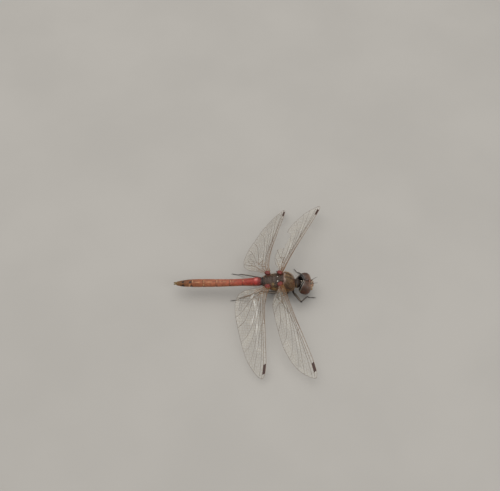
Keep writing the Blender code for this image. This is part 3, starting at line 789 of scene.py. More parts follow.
def makeMouth(finish):
    p = paints(facePaint)
    store = newStore()
    centre = np.asarray(head["mouthCentre"])
    rows = ball(centre, np.array(head["mouthRadii"]) - 0.04, rings=90, sides=130, fullness=2.2)
    y, z = rows[..., 1], rows[..., 2]
    # the lower lip: a small middle lobe between two broad ones
    split = 0.20 + 0.35 * ease(2.4, 1.6, z)
    dent = (0.09 * bell(np.abs(y), split, 0.045) + 0.08 * bell(np.abs(y), 0.95, 0.05)
            + 0.05 * bell(z, 2.55, 0.05))
    dent = dent + 0.05 * bell(y, 0, 0.04) * ease(1.9, 1.7, z)
    rows = centre + (rows - centre) * (1 - dent)[..., None]
    tints = layered(washed(p["jaw"], rows), p, (
        ("line", 0.80 * ease(split + 0.02, split - 0.05, np.abs(y))),
        ("groove", 0.8 * bell(np.abs(y), 0.95, 0.06) + 0.6 * bell(np.abs(y), split, 0.05)),
        ("line", 0.5 * ease(9.3, 8.7, rows[..., 0])),
    ))
    putRings(store, rows, np.clip(tints, 0, 1))
    for side in (-1, 1):      # the jaws' outer bases, beside the upper lip
        middle, radii = head["jaw"]
        jaw = ball(np.array(middle) * (1, side, 1), radii, rings=30, sides=40, fullness=2.3)
        jawTints = blendTint(washed(p["jaw"], jaw), p["line"], ease(2.60, 2.40, jaw[..., 2]))
        putRings(store, jaw, jawTints)
    finishPiece("jaws_and_lip", store, ["mouthparts"], finish)
    print("mouth done")


feeler = {
    "route": [(10.22, 0.52, 4.72), (10.40, 0.60, 5.02), (10.85, 0.72, 5.42), (11.40, 0.87, 5.82),
              (11.98, 1.00, 6.12)],
    "radii": [(0.0, 0.14), (0.16, 0.13), (0.20, 0.085), (0.38, 0.075), (0.42, 0.060), (1.0, 0.030)],
    "rings": 40, "sides": 12, "dark": (38, 27, 22), "joint": (96, 66, 44),
}


def makeFeelers(finish):
    for side, word in bothSides:
        rows, path, share = taperedTube(np.array(feeler["route"]) * (1, side, 1), feeler["radii"],
                                        feeler["rings"], sides=feeler["sides"], facing=(1, 0, 0))
        tint = blendTint(washed(paint(*feeler["dark"]), path), paint(*feeler["joint"]),
                         bell(share, 0.19, 0.05))
        tints = np.repeat(tint[:, None], feeler["sides"], axis=1)
        ringPiece(f"feeler_{word}", rows, tints, [f"antenna_{word}"], finish)
    print("feelers done")


# The legs
legs = {
    "hips": {    # hip and second joint on the left
        "fore": [(5.00, 0.75, 2.30), (5.20, 1.25, 1.55)],
        "mid": [(3.75, 0.90, 2.10), (3.70, 1.50, 1.35)],
        "hind": [(2.40, 0.95, 2.20), (2.20, 1.65, 1.45)],
    },
    "stance": {    # knee, ankle, toe
        "fore_right": [(7.31, -5.45, 3.05), (9.28, -2.21, 0.70), (11.38, -2.26, 0.10)],
        "fore_left": [(7.50, 3.60, 3.50), (6.95, 5.95, 0.70), (5.95, 7.20, 0.10)],
        "mid_right": [(0.48, -4.32, 4.00), (2.61, -4.97, 0.65), (3.80, -7.20, 0.10)],
        "mid_left": [(0.60, 4.15, 4.00), (2.30, 4.80, 0.65), (3.80, 6.20, 0.10)],
        "hind_right": [(-4.00, -3.05, 4.70), (-10.10, -2.92, 0.65), (-12.30, -3.29, 0.10)],
        "hind_left": [(-4.45, 1.85, 4.40), (-9.75, 5.32, 0.65), (-12.10, 5.74, 0.10)],
    },
    # how thick each link is, as (share of its length, radius)
    "hipCone": [(0, 0.46), (0.6, 0.42), (1, 0.30)], "hipLink": [(0, 0.26), (0.4, 0.30), (1, 0.25)],
    "thigh": [(0.0, 0.32), (0.10, 0.40), (0.35, 0.405), (0.80, 0.30), (0.95, 0.27), (1.0, 0.19)],
    "shin": [(0.0, 0.14), (0.05, 0.22), (0.5, 0.185), (0.93, 0.175), (1.0, 0.13)],
    "footSteps": (0.0, 0.22, 0.50, 0.96),      # ends of the foot's three links, as shares of the foot
    "footRadius": 0.105,
    "floor": (-math.inf, -math.inf, 0.0),      # soles and claws are flat where they stand
    "kneeRadius": 0.20, "clawRadii": (0.045, 0.008),
    "claw": [(0.22, 0.10, 0.10), (0.42, 0.17, 0.02), (0.46, 0.18, -0.07)],      # ahead, sideways, up
    "shinSpines": (0.06, 0.62, 0.42), "thighSpines": (0.4, 0.34, 0.36),      # from, length, spacing
    "spineRadii": (0.026, 0.026 * 0.7, 0.006), "spineLean": 0.55,
    "dark": (54, 45, 41), "stripe": (138, 126, 112), "knee": (36, 29, 26),
}


def legFinish():
    finish, tree, shader, place, tint = startFinish("leg", Roughness=0.32, IOR=1.5)
    grain = noise(tree, place, 0.10, 3.0)
    colour = shaded(tree, tint, grain, (0.75, 0.75, 0.75), (1.35, 1.32, 1.28))
    wear(tree, shader, colour, grain, (0.3, 0.7), (0.22, 0.42))
    bumped(tree, shader, grain, 0.02, 0.6)
    return finish


def putSpines(store, start, end, away, spines, tint):
    # a double row of stiff bristles down a limb, slanting to its foot end
    first, length, spacing = spines
    start = start + (end - start) * first
    lean = legs["spineLean"]
    run = end - start
    reach = np.linalg.norm(run)
    ahead = run / reach
    for side in (-1, 1):
        count = max(2, int(reach / spacing))
        for i in range(count):
            share = (i + 0.6 + 0.2 * side) / (count + 0.2)
            root = start + run * share
            out = unit(np.cross(ahead, away) * side * 0.8 + away)
            size = length * (0.75 + 0.25 * math.sin(math.pi * share))
            path = [root, root + (out * 0.8 + ahead * lean) * size * 0.55,
                    root + (out * 0.85 + ahead * (lean + 0.25)) * size]
            putRings(store, sweep(path, legs["spineRadii"], sides=5, facing=away), tint)


def putLimb(store, side, points, radii, count, striped=False):
    p = {key: paint(*legs[key]) for key in ("dark", "stripe", "knee")}
    rows, path, share = taperedTube(points, radii, count, sides=18, facing=(0.2, side, 0.3), squash=0.86)
    tints = washed(p["dark"], rows)
    if striped:
        outer = unit(rows - path[:, None]) @ unit(np.array([0.0, side * 0.45, 0.9]))
        tints = blendTint(tints, p["stripe"], 0.85 * bell(outer, 1.0, 0.34)
                          * ease(0.08, 0.2, share)[:, None] * ease(0.98, 0.9, share)[:, None])
    putRings(store, rows, blendTint(tints, p["knee"], (ease(0.92, 1.0, share) * 0.8)[:, None]))


def putFoot(store, side, ankle, toe):
    foot = toe - ankle
    lowest = np.array([ankle, ankle + foot * 0.3, toe])
    lowest[1][2] = legs["footRadius"] + 0.03
    route, share = throughPoints(lowest, 40)
    for first, last in zip(legs["footSteps"], legs["footSteps"][1:]):
        part = (share >= first) & (share <= last)
        local = (share[part] - first) / (last - first)
        width = legs["footRadius"] * (0.72 + 0.36 * local) * np.where(local > 0.97, 0.8, 1)
        rows = sweep(route[part], width, sides=12, facing=(0, side, 0.3))
        putRings(store, np.maximum(rows, legs["floor"]), paint(*legs["dark"]))
    ahead, tip = unit(route[-1] - route[-6]), route[-2]
    across = unit(np.cross(ahead, (0, 0, 1)))
    for way in (-1, 1):
        hook = [tip] + [tip + ahead * on + across * way * out + (0, 0, up) for on, out, up in legs["claw"]]
        path, _ = throughPoints(hook, 12)
        path[:, 2] = np.maximum(path[:, 2], 0.03)
        rows = sweep(path, np.linspace(*legs["clawRadii"], 12), sides=8, facing=(0, 0, 1))
        putRings(store, np.maximum(rows, legs["floor"]), paint(*legs["knee"]))


def makeLegs(finish):
    kneeTint = paint(*legs["knee"])
    for word, joints in legs["stance"].items():
        pair, sideWord = word.split("_")
        side = 1.0 if sideWord == "left" else -1.0
        hip, second = (np.array(joint) * (1, side, 1) for joint in legs["hips"][pair])
        knee, ankle, toe = (np.array(joint) for joint in joints)
        store = newStore()
        inward = hip + (0, -side * 0.10, 0.25)
        putLimb(store, side, [inward, second + (0, 0, 0.10)], legs["hipCone"], 12)
        putLimb(store, side, [second, second + (knee - second) * 0.13], legs["hipLink"], 10)
        bent = second + (knee - second) * 0.55 + unit(np.array([0, side * 0.6, 1.0])) * 0.10
        putLimb(store, side, [second + (knee - second) * 0.11, bent, knee], legs["thigh"], 36, True)
        shinBend = (knee + ankle) / 2 + np.array([0, side * 0.05, 0.04])
        putLimb(store, side, [knee, shinBend, ankle], legs["shin"], 36, True)
        putRings(store, ball(knee, (legs["kneeRadius"],) * 3, rings=10, sides=14), kneeTint)
        putFoot(store, side, ankle, toe)
        shinWay, thighWay = unit(ankle - knee), unit(knee - second)
        shinInner = unit(np.cross(shinWay, np.cross(unit(second - knee), shinWay)))
        thighInner = unit(np.cross(thighWay, np.cross(shinWay, thighWay)))
        putSpines(store, knee, ankle, shinInner, legs["shinSpines"], kneeTint)
        putSpines(store, second, knee, thighInner, legs["thighSpines"], kneeTint)
        stands = [f"{link}_{word}" for link in ("femur", "tibia", "tarsus")]
        finishPiece(f"leg_{word}", store, stands, finish)
    print("legs done")


# The claspers at the tail's tip
claspers = {
    "upper": [(-27.80, 0.20, 4.18), (-28.12, 0.23, 4.23), (-28.42, 0.24, 4.20), (-28.72, 0.24, 4.12)],
    "upperRadii": [(0, 0.17), (0.35, 0.20), (0.75, 0.18), (0.95, 0.11), (1, 0.05)],
    "lower": [(-27.80, 0.0, 3.86), (-28.15, 0.0, 3.82), (-28.45, 0.0, 3.88)],
    "lowerRadii": [(0, 0.27), (0.5, 0.24), (1, 0.09)],
    "tint": (126, 102, 54), "tip": (92, 66, 34),
}


def makeClaspers(finish):
    tint, tip = paint(*claspers["tint"]), paint(*claspers["tip"])
    for side, word in bothSides:
        store = newStore()
        rows, _, share = taperedTube(np.array(claspers["upper"]) * (1, side, 1), claspers["upperRadii"],
                                     24, sides=16)
        putRings(store, rows, blendTint(washed(tint, rows), tip, 0.8 * ease(0.6, 1.0, share)[:, None]))
        if side > 0:
            rows, _, share = taperedTube(claspers["lower"], claspers["lowerRadii"], 16, sides=20,
                                         squash=0.5)
            putRings(store, rows, blendTint(washed(tint, rows), tip,
                                            0.7 * ease(0.5, 1.0, share)[:, None]))
        finishPiece(f"clasper_{word}", store, [f"cercus_{word}"], finish)


# The wings. Places on a wing are (share of its length, share of its width from the leading edge)
wingKinds = {
    "fore": {
        "length": 28.6,
        "edges": [(0.00, 0.55, -0.70), (0.04, 0.60, -1.30), (0.10, 0.52, -3.05), (0.20, 0.42, -4.40),
                  (0.32, 0.40, -4.90), (0.46, 0.48, -5.35), (0.60, 0.62, -5.55), (0.74, 0.72, -5.10),
                  (0.85, 0.74, -4.15), (0.93, 0.60, -2.75), (0.98, 0.28, -1.35), (1.00, -0.10, -0.60)],
        "veins": [   # name, thickness, height of its fold, places; a vein starts where its list does
            ("costa", 0.085, 0.09, [(0, 0), (1, 0)]),
            ("subcosta", 0.060, -0.10,
             [(0, 0.22), (0.05, 0.16), (0.12, 0.10), (0.25, 0.062), (0.40, 0.038), (0.495, 0)]),
            ("radius", 0.072, 0.11,
             [(0, 0.40), (0.05, 0.30), (0.12, 0.19), (0.25, 0.125), (0.40, 0.10), (0.55, 0.10),
              (0.70, 0.11), (0.84, 0.14), (0.94, 0.24), (0.985, 0.42), (1, 0.6)]),
            ("sector1", 0.055, -0.07,
             [(0.12, 0.29), (0.20, 0.24), (0.35, 0.19), (0.50, 0.17), (0.65, 0.185), (0.80, 0.25),
              (0.90, 0.36), (0.96, 0.58), (0.988, 1)]),
            ("sector2", 0.045, -0.05,
             [(0.50, 0.17), (0.58, 0.24), (0.70, 0.36), (0.80, 0.50), (0.88, 0.70), (0.935, 1)]),
            ("between2", 0.040, 0.05,
             [(0.33, 0.197), (0.42, 0.25), (0.55, 0.34), (0.68, 0.48), (0.79, 0.68), (0.865, 1)]),
            ("sector3", 0.045, -0.05,
             [(0.24, 0.225), (0.34, 0.29), (0.46, 0.385), (0.58, 0.53), (0.68, 0.72), (0.745, 1)]),
            ("media", 0.050, 0.06,
             [(0.12, 0.35), (0.20, 0.355), (0.30, 0.41), (0.42, 0.53), (0.52, 0.70), (0.60, 1)]),
            ("mediaRear", 0.052, -0.06,
             [(0, 0.54), (0.06, 0.47), (0.12, 0.42), (0.165, 0.41), (0.178, 0.60), (0.22, 0.62),
              (0.30, 0.69), (0.38, 0.81), (0.45, 1)]),
            ("cubitus", 0.045, 0.04, [(0.178, 0.60), (0.21, 0.76), (0.25, 0.90), (0.28, 1)]),
            ("anal", 0.045, -0.03, [(0, 0.76), (0.05, 0.75), (0.10, 0.77), (0.14, 0.85), (0.18, 1)]),
        ],
        "extras": [[(0.12, 0.19), (0.12, 0.42)], [(0.165, 0.41), (0.195, 0.36), (0.178, 0.60)],
                   [(0.495, 0), (0.50, 0.10), (0.505, 0.17)]],
        "loops": [],
        "stigma": (0.853, 0.939),
    },
    "hind": {
        "length": 27.0,
        "edges": [(0.00, 0.45, -0.90), (0.03, 0.30, -3.20), (0.07, -0.20, -6.60), (0.13, -0.50, -8.35),
                  (0.22, -0.66, -8.95), (0.32, -0.62, -8.75), (0.46, -0.25, -7.85), (0.60, 0.10, -6.80),
                  (0.74, 0.46, -5.50), (0.85, 0.66, -4.10), (0.93, 0.58, -2.55), (0.98, 0.28, -1.25),
                  (1.00, -0.10, -0.55)],
        "veins": [
            ("costa", 0.082, 0.09, [(0, 0), (1, 0)]),
            ("subcosta", 0.060, -0.10,
             [(0, 0.20), (0.05, 0.10), (0.12, 0.065), (0.25, 0.045), (0.35, 0.03), (0.42, 0)]),
            ("radius", 0.070, 0.11,
             [(0, 0.38), (0.04, 0.22), (0.08, 0.14), (0.15, 0.10), (0.30, 0.078), (0.45, 0.074),
              (0.65, 0.09), (0.85, 0.145), (0.945, 0.25), (0.985, 0.42), (1, 0.6)]),
            ("sector1", 0.055, -0.07,
             [(0.09, 0.22), (0.15, 0.17), (0.30, 0.135), (0.45, 0.13), (0.65, 0.165), (0.80, 0.25),
              (0.90, 0.37), (0.96, 0.60), (0.988, 1)]),
            ("sector2", 0.045, -0.05,
             [(0.43, 0.13), (0.55, 0.22), (0.68, 0.34), (0.79, 0.50), (0.88, 0.72), (0.935, 1)]),
            ("between2", 0.040, 0.05,
             [(0.28, 0.14), (0.40, 0.20), (0.54, 0.31), (0.68, 0.48), (0.79, 0.70), (0.86, 1)]),
            ("sector3", 0.045, -0.05,
             [(0.20, 0.157), (0.32, 0.22), (0.45, 0.33), (0.58, 0.50), (0.68, 0.72), (0.74, 1)]),
            ("media", 0.052, 0.06,
             [(0.09, 0.26), (0.15, 0.24), (0.26, 0.27), (0.38, 0.37), (0.49, 0.53), (0.58, 0.76),
              (0.63, 1)]),
            ("mediaRear", 0.055, -0.06,
             [(0, 0.50), (0.04, 0.34), (0.09, 0.30), (0.11, 0.30), (0.13, 0.42), (0.20, 0.44), (0.30, 0.53),
              (0.40, 0.70), (0.48, 1)]),
            ("cubitus", 0.050, 0.04, [(0.13, 0.42), (0.18, 0.52), (0.26, 0.66), (0.33, 0.84), (0.37, 1)]),
            ("anal", 0.045, -0.03,
             [(0, 0.72), (0.03, 0.55), (0.07, 0.50), (0.10, 0.55), (0.12, 0.68), (0.14, 0.84), (0.155, 1)]),
        ],
        "extras": [[(0.09, 0.13), (0.09, 0.30)], [(0.11, 0.30), (0.175, 0.245), (0.13, 0.42)],
                   [(0.42, 0), (0.425, 0.075), (0.43, 0.13)]],
        "loops": [[(0.14, 0.48), (0.15, 0.66), (0.19, 0.82), (0.26, 0.88), (0.30, 0.79)],
                  [(0.16, 0.52), (0.19, 0.66), (0.235, 0.80), (0.30, 0.79)]],
        "stigma": (0.85, 0.95),
    },
}
# side, hinge, sweep forward, droop, pitch at root and tip, upward arch, depth of the worn bite
wingPoses = {
    "forewing_left": ("fore", 1, (1.55, 2.1, 6.9), 25.9, 6.5, (16, 28), 0.5, 1.8),
    "forewing_right": ("fore", -1, (1.55, -2.1, 6.9), 18.8, 7.5, (4, 12), 0.5, 0.0),
    "hindwing_left": ("hind", 1, (-1.9, 2.1, 6.2), 11.5, 10.7, (20, 38), 1.9, 0.0),
    "hindwing_right": ("hind", -1, (-1.9, -2.1, 6.2), -3.9, 9.3, (2, 6), 0.4, 0.0),
}
wingLook = {
    "glints": [    # painted glints, white sky reflections painted into the film: place along, place across, half length, half width, slant
        (0.12, 0.50, 0.035, 0.030, 0.0), (0.20, 0.36, 0.030, 0.022, -1.0), (0.30, 0.27, 0.060, 0.030, -0.3),
        (0.37, 0.39, 0.050, 0.020, 1.3), (0.44, 0.29, 0.050, 0.018, 0.1), (0.56, 0.32, 0.060, 0.016, 0.2),
        (0.68, 0.36, 0.045, 0.014, 0.2),
    ],
    "samples": 501, "wornFrom": 0.29, "wornTo": 0.555, "wornSlopes": (0.04, 0.02), "raggedness": 0.09,
    # the net: lengths and widths of its cells, and how unevenly they sit
    "frontFields": 2, "frontCell": 1.45, "cellLength": 0.74, "cellWidth": 0.66, "thinnestField": 0.13,
    "stagger": 0.25, "unevenAcross": 0.07, "unevenAlong": 0.08, "wallLengths": (0.05, 2.6), "loopField": 9,
    # radii
    "wall": 0.019, "marginVein": 0.034, "tipVein": 0.04, "crossVein": 0.05, "loopVein": 0.045,
    # thickness along the main veins and along their branches, as shares of it
    "taper": ([0, 0.04, 0.14, 0.9, 1.0], [1.45, 1.35, 1.0, 0.62, 0.45]), "branchTaper": [1.15, 0.9, 0.6],
    "wallTaper": ([0, 0.2, 1], [1.35, 1.05, 0.8]),
    # how much of the front veins' own colour each of them takes
    "frontShare": {"costa": 1.0, "radius": 0.8, "subcosta": 0.5},
    "stigmaCrown": 0.055, "stigmaHeight": 0.02, "stigmaSlant": (-0.004, 0.012), "stigmaGrid": (40, 9),
    # the film, with its rows of points crowded towards the front edge
    "filmGrid": (240, 72), "filmThickness": 0.012, "filmEnd": 0.998, "filmCrowding": 1.35,
    "shiniest": "hindwing_right", "otherGlints": 0.3,
    # shimmer is how much opacity the painted glints add
    "veil": 0.055, "amberVeil": 0.20, "shimmer": 0.30,
    "vein": (92, 70, 50), "wallTint": (130, 102, 66), "frontVein": (118, 90, 64), "amber": (120, 80, 36),
    "stigma": (54, 22, 14), "film": (226, 220, 204), "amberFilm": (140, 94, 42), "glint": (246, 246, 242),
}


def planWing(word):
    kind, side, hinge, sweepTurn, droop, pitch, arch, worn = wingPoses[word]
    plan = dict(wingKinds[kind], side=side, hinge=np.array(hinge), pitch=pitch, arch=arch, word=word)
    a, d = math.radians(sweepTurn), math.radians(droop)
    along = np.array([math.sin(a) * math.cos(d), side * math.cos(a) * math.cos(d), -math.sin(d)])
    forward = unit(np.array([1.0, 0, 0]) - along * along[0])
    up = np.cross(along, forward)
    plan["along"], plan["forward"], plan["up"] = along, forward, up if up[2] > 0 else -up
    shares = plan["shares"] = np.linspace(0, 1, wingLook["samples"])
    table = np.array(plan["edges"])
    plan["lead"], trail = curve(shares, table[:, 0], table[:, 1]), curve(shares, table[:, 0], table[:, 2])
    plan["chord"] = plan["lead"] - trail
    inner, outer = wingLook["wornSlopes"]
    bite = (np.clip((shares - wingLook["wornFrom"]) / inner, 0, 1)
            * np.clip((wingLook["wornTo"] - shares) / outer, 0, 1))
    notches = dice.normal(0, wingLook["raggedness"], 140)
    ragged = np.interp(shares, np.linspace(0, 1, len(notches)), notches) * (bite > 0)
    plan["edge"] = 1 - (worn * bite - (ragged if worn else 0) * bite) / plan["chord"]
    # where each vein lies at each share of the length; before its start it lies on the one in front
    lines, folds = [], []
    for name, _, fold, places in plan["veins"]:
        s, t = np.array(places, float).T
        line = curve(shares, s, t)
        line = np.where(shares > s[-1], 0.0 if name == "subcosta" else 1.0, line)
        if lines:
            line = np.where(shares < s[0], lines[-1], np.maximum(line, lines[-1]))
            own = ease(0, 0.05, line - lines[-1])
            folds.append(folds[-1] * (1 - own) + fold * own)
        else:
            folds.append(np.full(len(shares), fold))
        lines.append(line)
    lines.append(np.ones(len(shares)))
    folds.append(np.zeros(len(shares)))
    plan["lines"], plan["folds"] = np.array(lines), np.array(folds)
    return plan


def onWing(plan, s, t, rise=0.0):
    s, t = np.broadcast_arrays(np.asarray(s, float), np.asarray(t, float))
    column = np.clip((s * (wingLook["samples"] - 1)).round().astype(int), 0, wingLook["samples"] - 1)
    fold = np.zeros(s.shape)
    for low, high, a, b in zip(plan["lines"], plan["lines"][1:], plan["folds"], plan["folds"][1:]):
        gap = high[column] - low[column]
        share = (t - low[column]) / np.where(gap > 1e-6, gap, 1)
        fold = np.where((t >= low[column]) & (t <= high[column]) & (gap > 1e-6),
                        a[column] + (b[column] - a[column]) * share, fold)
    fold = fold * ease(1.0, 0.86, s) * ease(-0.02, 0.05, s)
    offset = np.interp(s, plan["shares"], plan["lead"]) - np.interp(s, plan["shares"], plan["chord"]) * t
    pitch = np.radians(plan["pitch"][0] + (plan["pitch"][1] - plan["pitch"][0]) * s)[..., None]
    chord = plan["forward"] * np.cos(pitch) + plan["up"] * np.sin(pitch)
    normal = plan["up"] * np.cos(pitch) - plan["forward"] * np.sin(pitch)
    bow = (plan["arch"] * 4 * s * (1 - s))[..., None]
    return (plan["hinge"] + plan["along"] * (plan["length"] * s)[..., None] + chord * offset[..., None]
            + plan["up"] * bow + normal * (fold + rise)[..., None])


def flatten(plan, s, t):
    # millimetres on the spread wing
    lead, chord = np.interp(s, plan["shares"], plan["lead"]), np.interp(s, plan["shares"], plan["chord"])
    return np.stack([s * plan["length"], lead - chord * t], -1)


def unflatten(plan, flat):
    s = flat[..., 0] / plan["length"]
    lead, chord = np.interp(s, plan["shares"], plan["lead"]), np.interp(s, plan["shares"], plan["chord"])
    return s, (lead - flat[..., 1]) / chord


def seedField(plan, k):
    # one seed for each cell between veins k and k + 1, and its mirrored copies across those veins
    upper, lower, shares = plan["lines"][k], plan["lines"][k + 1], plan["shares"]
    narrow = k <= wingLook["frontFields"]
    unevenAcross, unevenAlong = wingLook["unevenAcross"], wingLook["unevenAlong"]
    length = wingLook["frontCell"] if narrow else wingLook["cellLength"] * (1.15 if k == 3 else 1.0)
    seeds, ghosts, sides = [], [], []
    at, column = 0.02 + (0.4 * length / plan["length"] if k % 2 else 0), 0
    while at < 0.995:
        top, low = (np.interp(at, shares, line) for line in (upper, lower))
        chord = np.interp(at, shares, plan["chord"])
        width = (low - top) * chord
        if width > wingLook["thinnestField"]:
            rows = 1 if narrow else max(1, round(width / wingLook["cellWidth"]))
            for row in range(rows):
                stagger = wingLook["stagger"] * (1 if column % 2 else -1) if rows > 1 else 0
                share = (row + 0.5 + stagger + dice.uniform(-unevenAcross, unevenAcross)) / rows
                s = at + dice.uniform(-unevenAlong, unevenAlong) * length / plan["length"]
                seeds.append((s, top + (low - top) * share))
                if row == 0:
                    ghosts.append((s, top - (low - top) * share))
                    sides.append(-1)
                if row == rows - 1:
                    ghosts.append((s, low + (low - top) * (1 - share)))
                    sides.append(1)
        at += length * (0.8 + 0.2 * min(1, width / 0.6)) / plan["length"]
        column += 1
    return np.array(seeds), np.array(ghosts), sides


def cellWalls(flatSeeds, flatGhosts, sides):
    # walls between neighbouring cells, half way between their seeds, and which vein each end touches
    every = [Vector(p) for p in np.vstack([flatSeeds, flatGhosts])]
    spots, _, triangles, sources, _, _ = geometry.delaunay_2d_cdt(every, [], [], 0, 1e-6)
    spots = np.array([tuple(p) for p in spots])
    marks = [0] * len(flatSeeds) + list(sides)
    marks = [marks[min(source)] if source else 9 for source in sources]
    centres, beside, touches = [], {}, []
    for number, (a, b, c) in enumerate(triangles):
        (ax, ay), (bx, by), (cx, cy) = spots[a], spots[b], spots[c]
        twice = 2 * (ax * (by - cy) + bx * (cy - ay) + cx * (ay - by))
        a2, b2, c2 = ax * ax + ay * ay, bx * bx + by * by, cx * cx + cy * cy
        centres.append(((a2 * (by - cy) + b2 * (cy - ay) + c2 * (ay - by)) / twice,
                        (a2 * (cx - bx) + b2 * (ax - cx) + c2 * (bx - ax)) / twice))
        touches.append(marks[a] + marks[b] + marks[c])
        for pair in ((a, b), (b, c), (c, a)):
            if marks[pair[0]] == 0 and marks[pair[1]] == 0:
                beside.setdefault(tuple(sorted(pair)), []).append(number)
    return np.array(centres), [pair for pair in beside.values() if len(pair) == 2], np.array(touches)


def traceWalls(centres, walls, start, goal, guide):
    # the shortest way along cell walls between two places that keeps near a guide line
    near = {}
    for a, b in walls:
        middle = (centres[a] + centres[b]) / 2
        stray = np.min(np.linalg.norm(guide - middle, axis=1))
        cost = np.linalg.norm(centres[a] - centres[b]) * (1 + 6 * stray * stray)
        near.setdefault(a, []).append((b, cost))
        near.setdefault(b, []).append((a, cost))
    known = list(near)
    first = known[int(np.argmin(np.linalg.norm(centres[known] - start, axis=1)))]
    last = known[int(np.argmin(np.linalg.norm(centres[known] - goal, axis=1)))]
    best, came, queue = {first: 0.0}, {}, [(0.0, first)]
    while queue:
        cost, here = heapq.heappop(queue)
        if here == last:
            break
        for there, step in near[here]:
            if cost + step < best.get(there, 1e9):
                best[there] = cost + step
                came[there] = here
                heapq.heappush(queue, (cost + step, there))
    way = [last]
    while way[-1] in came:
        way.append(came[way[-1]])
    return centres[way[::-1]]


def putStruts(store, starts, ends, radius, up, tints):
    # short four-sided rods for the cell walls
    ahead = unit(ends - starts)
    side = unit(np.cross(ahead, up))
    over = np.cross(side, ahead)
    radius = np.asarray(radius)[:, None]
    corners = [side * radius, over * radius, -side * radius, -over * radius]
    points = np.stack([base + corner for base in (starts, ends) for corner in corners], axis=1)
    shape = [(0, 1, 5, 4), (1, 2, 6, 5), (2, 3, 7, 6), (3, 0, 4, 7), (3, 2, 1, 0), (4, 5, 6, 7)]
    faces = (np.arange(len(starts))[:, None, None] * 8 + np.array(shape)[None]).reshape(-1, 4)
    put(store, points, faces.tolist(), np.repeat(tints[:, None], 8, axis=1).reshape(-1, 3))


def veinTints(s, t, front, base="vein"):
    p = {key: paint(*wingLook[key]) for key in (base, "frontVein", "amber")}
    return layered(np.broadcast_to(p[base], (*np.shape(s), 3)), p, (
        ("frontVein", front * ease(0.0, 0.10, s)),
        ("amber", 0.85 * ease(0.24, 0.06, s) * ease(1.3, 0.3, np.asarray(t))),
    ))


def putTube(store, plan, s, t, radius, sides=6, front=0.0):
    # a vein along places on the wing
    s, t = np.broadcast_arrays(s, t)
    rows = sweep(onWing(plan, s, t), np.broadcast_to(radius, s.shape), sides=sides, facing=plan["up"])
    putRings(store, rows, np.repeat(veinTints(s, t, front)[:, None], sides, axis=1))


def putMainVeins(store, plan):
    shares, lines = plan["shares"], plan["lines"]
    for k, (name, thick, _, places) in enumerate(plan["veins"]):
        start, line = places[0][0], lines[k]
        clear = (shares >= start) & (line < np.minimum(0.999, plan["edge"])) if k else shares >= 0
        if name == "subcosta":
            clear = clear & (shares <= places[-1][0])
        run = np.flatnonzero(clear)
        if name != "costa":     # only up to where it first meets the rear edge
            breaks = np.flatnonzero(np.diff(run) > 1)
            run = run[:breaks[0] + 1] if len(breaks) else run
        s, t = shares[run], line[run]
        if k and name != "subcosta" and line[min(run[-1] + 1, len(line) - 1)] >= 1:
            s, t = np.append(s, s[-1] + 0.5 / len(shares)), np.append(t, 1.0)
        taper = np.interp(s, *wingLook["taper"])
        if name == "media" or name.startswith(("sector", "between")):
            taper = np.interp(s, [s[0], (s[0] + s[-1]) / 2, s[-1]], wingLook["branchTaper"])
        keep = np.unique(np.append(np.arange(0, len(s), 3), len(s) - 1))
        front = wingLook["frontShare"].get(name, 0.0)
        putTube(store, plan, s[keep], t[keep], thick * taper[keep], 7, front)
    for extra in plan["extras"]:
        s, t = np.array(extra).T
        at = np.linspace(0, len(s) - 1, 8 * (len(s) - 1) + 1)
        s, t = np.interp(at, range(len(s)), s), np.interp(at, range(len(t)), t)
        putTube(store, plan, s, t, wingLook["crossVein"])


def putRim(store, plan):
    # along the rear edge where it isn't worn away, and round the tip
    shares = plan["shares"]
    rim = np.flatnonzero((shares > 0.004) & (plan["edge"] > 0.999))
    for run in np.split(rim, np.flatnonzero(np.diff(rim) > 1) + 1):
        s = shares[run][::2]
        s = np.append(s, 1.0) if run[-1] > len(shares) - 4 else s
        putTube(store, plan, s, 1.0, wingLook["marginVein"])
    putTube(store, plan, 1.0, np.linspace(0, 1, 12), wingLook["tipVein"])


def putCells(store, plan):
    shares, lines = plan["shares"], plan["lines"]
    shortest, longest = wingLook["wallLengths"]
    count = 0
    for k in range(len(lines) - 1):
        seeds, ghosts, sides = seedField(plan, k)
        if len(seeds) < 3:
            continue
        centres, walls, touches = cellWalls(flatten(plan, *seeds.T), flatten(plan, *ghosts.T), sides)
        s, t = unflatten(plan, centres)
        s = np.clip(s, 0.004, 0.997)
        low, high = np.interp(s, shares, lines[k]), np.interp(s, shares, lines[k + 1])
        t = np.where(touches < 0, low, np.where(touches > 0, high, np.clip(t, low, high)))
        a, b = np.array(walls).T
        edge = np.interp(s, shares, plan["edge"])
        gap = np.linalg.norm(flatten(plan, s[a], t[a]) - flatten(plan, s[b], t[b]), axis=1)
        keep = (gap > shortest) & (gap < longest) & (high[a] - low[a] > 0.004)
        keep = keep & ((t[a] < edge[a]) | (t[b] < edge[b]))
        a, b = a[keep], b[keep]
        ta, tb = np.minimum(t[a], edge[a] + 0.02), np.minimum(t[b], edge[b] + 0.02)
        starts, stops = onWing(plan, s[a], ta), onWing(plan, s[b], tb)
        thicker = 1.5 if k <= wingLook["frontFields"] else 1.0
        radius = wingLook["wall"] * thicker * np.interp(s[a], *wingLook["wallTaper"])
        putStruts(store, starts, stops, radius, plan["up"], veinTints(s[a], t[a], 0.0, "wallTint"))
        count += len(a)
        if k == wingLook["loopField"]:
            putLoops(store, plan, flatten(plan, s, t), walls)
    return count


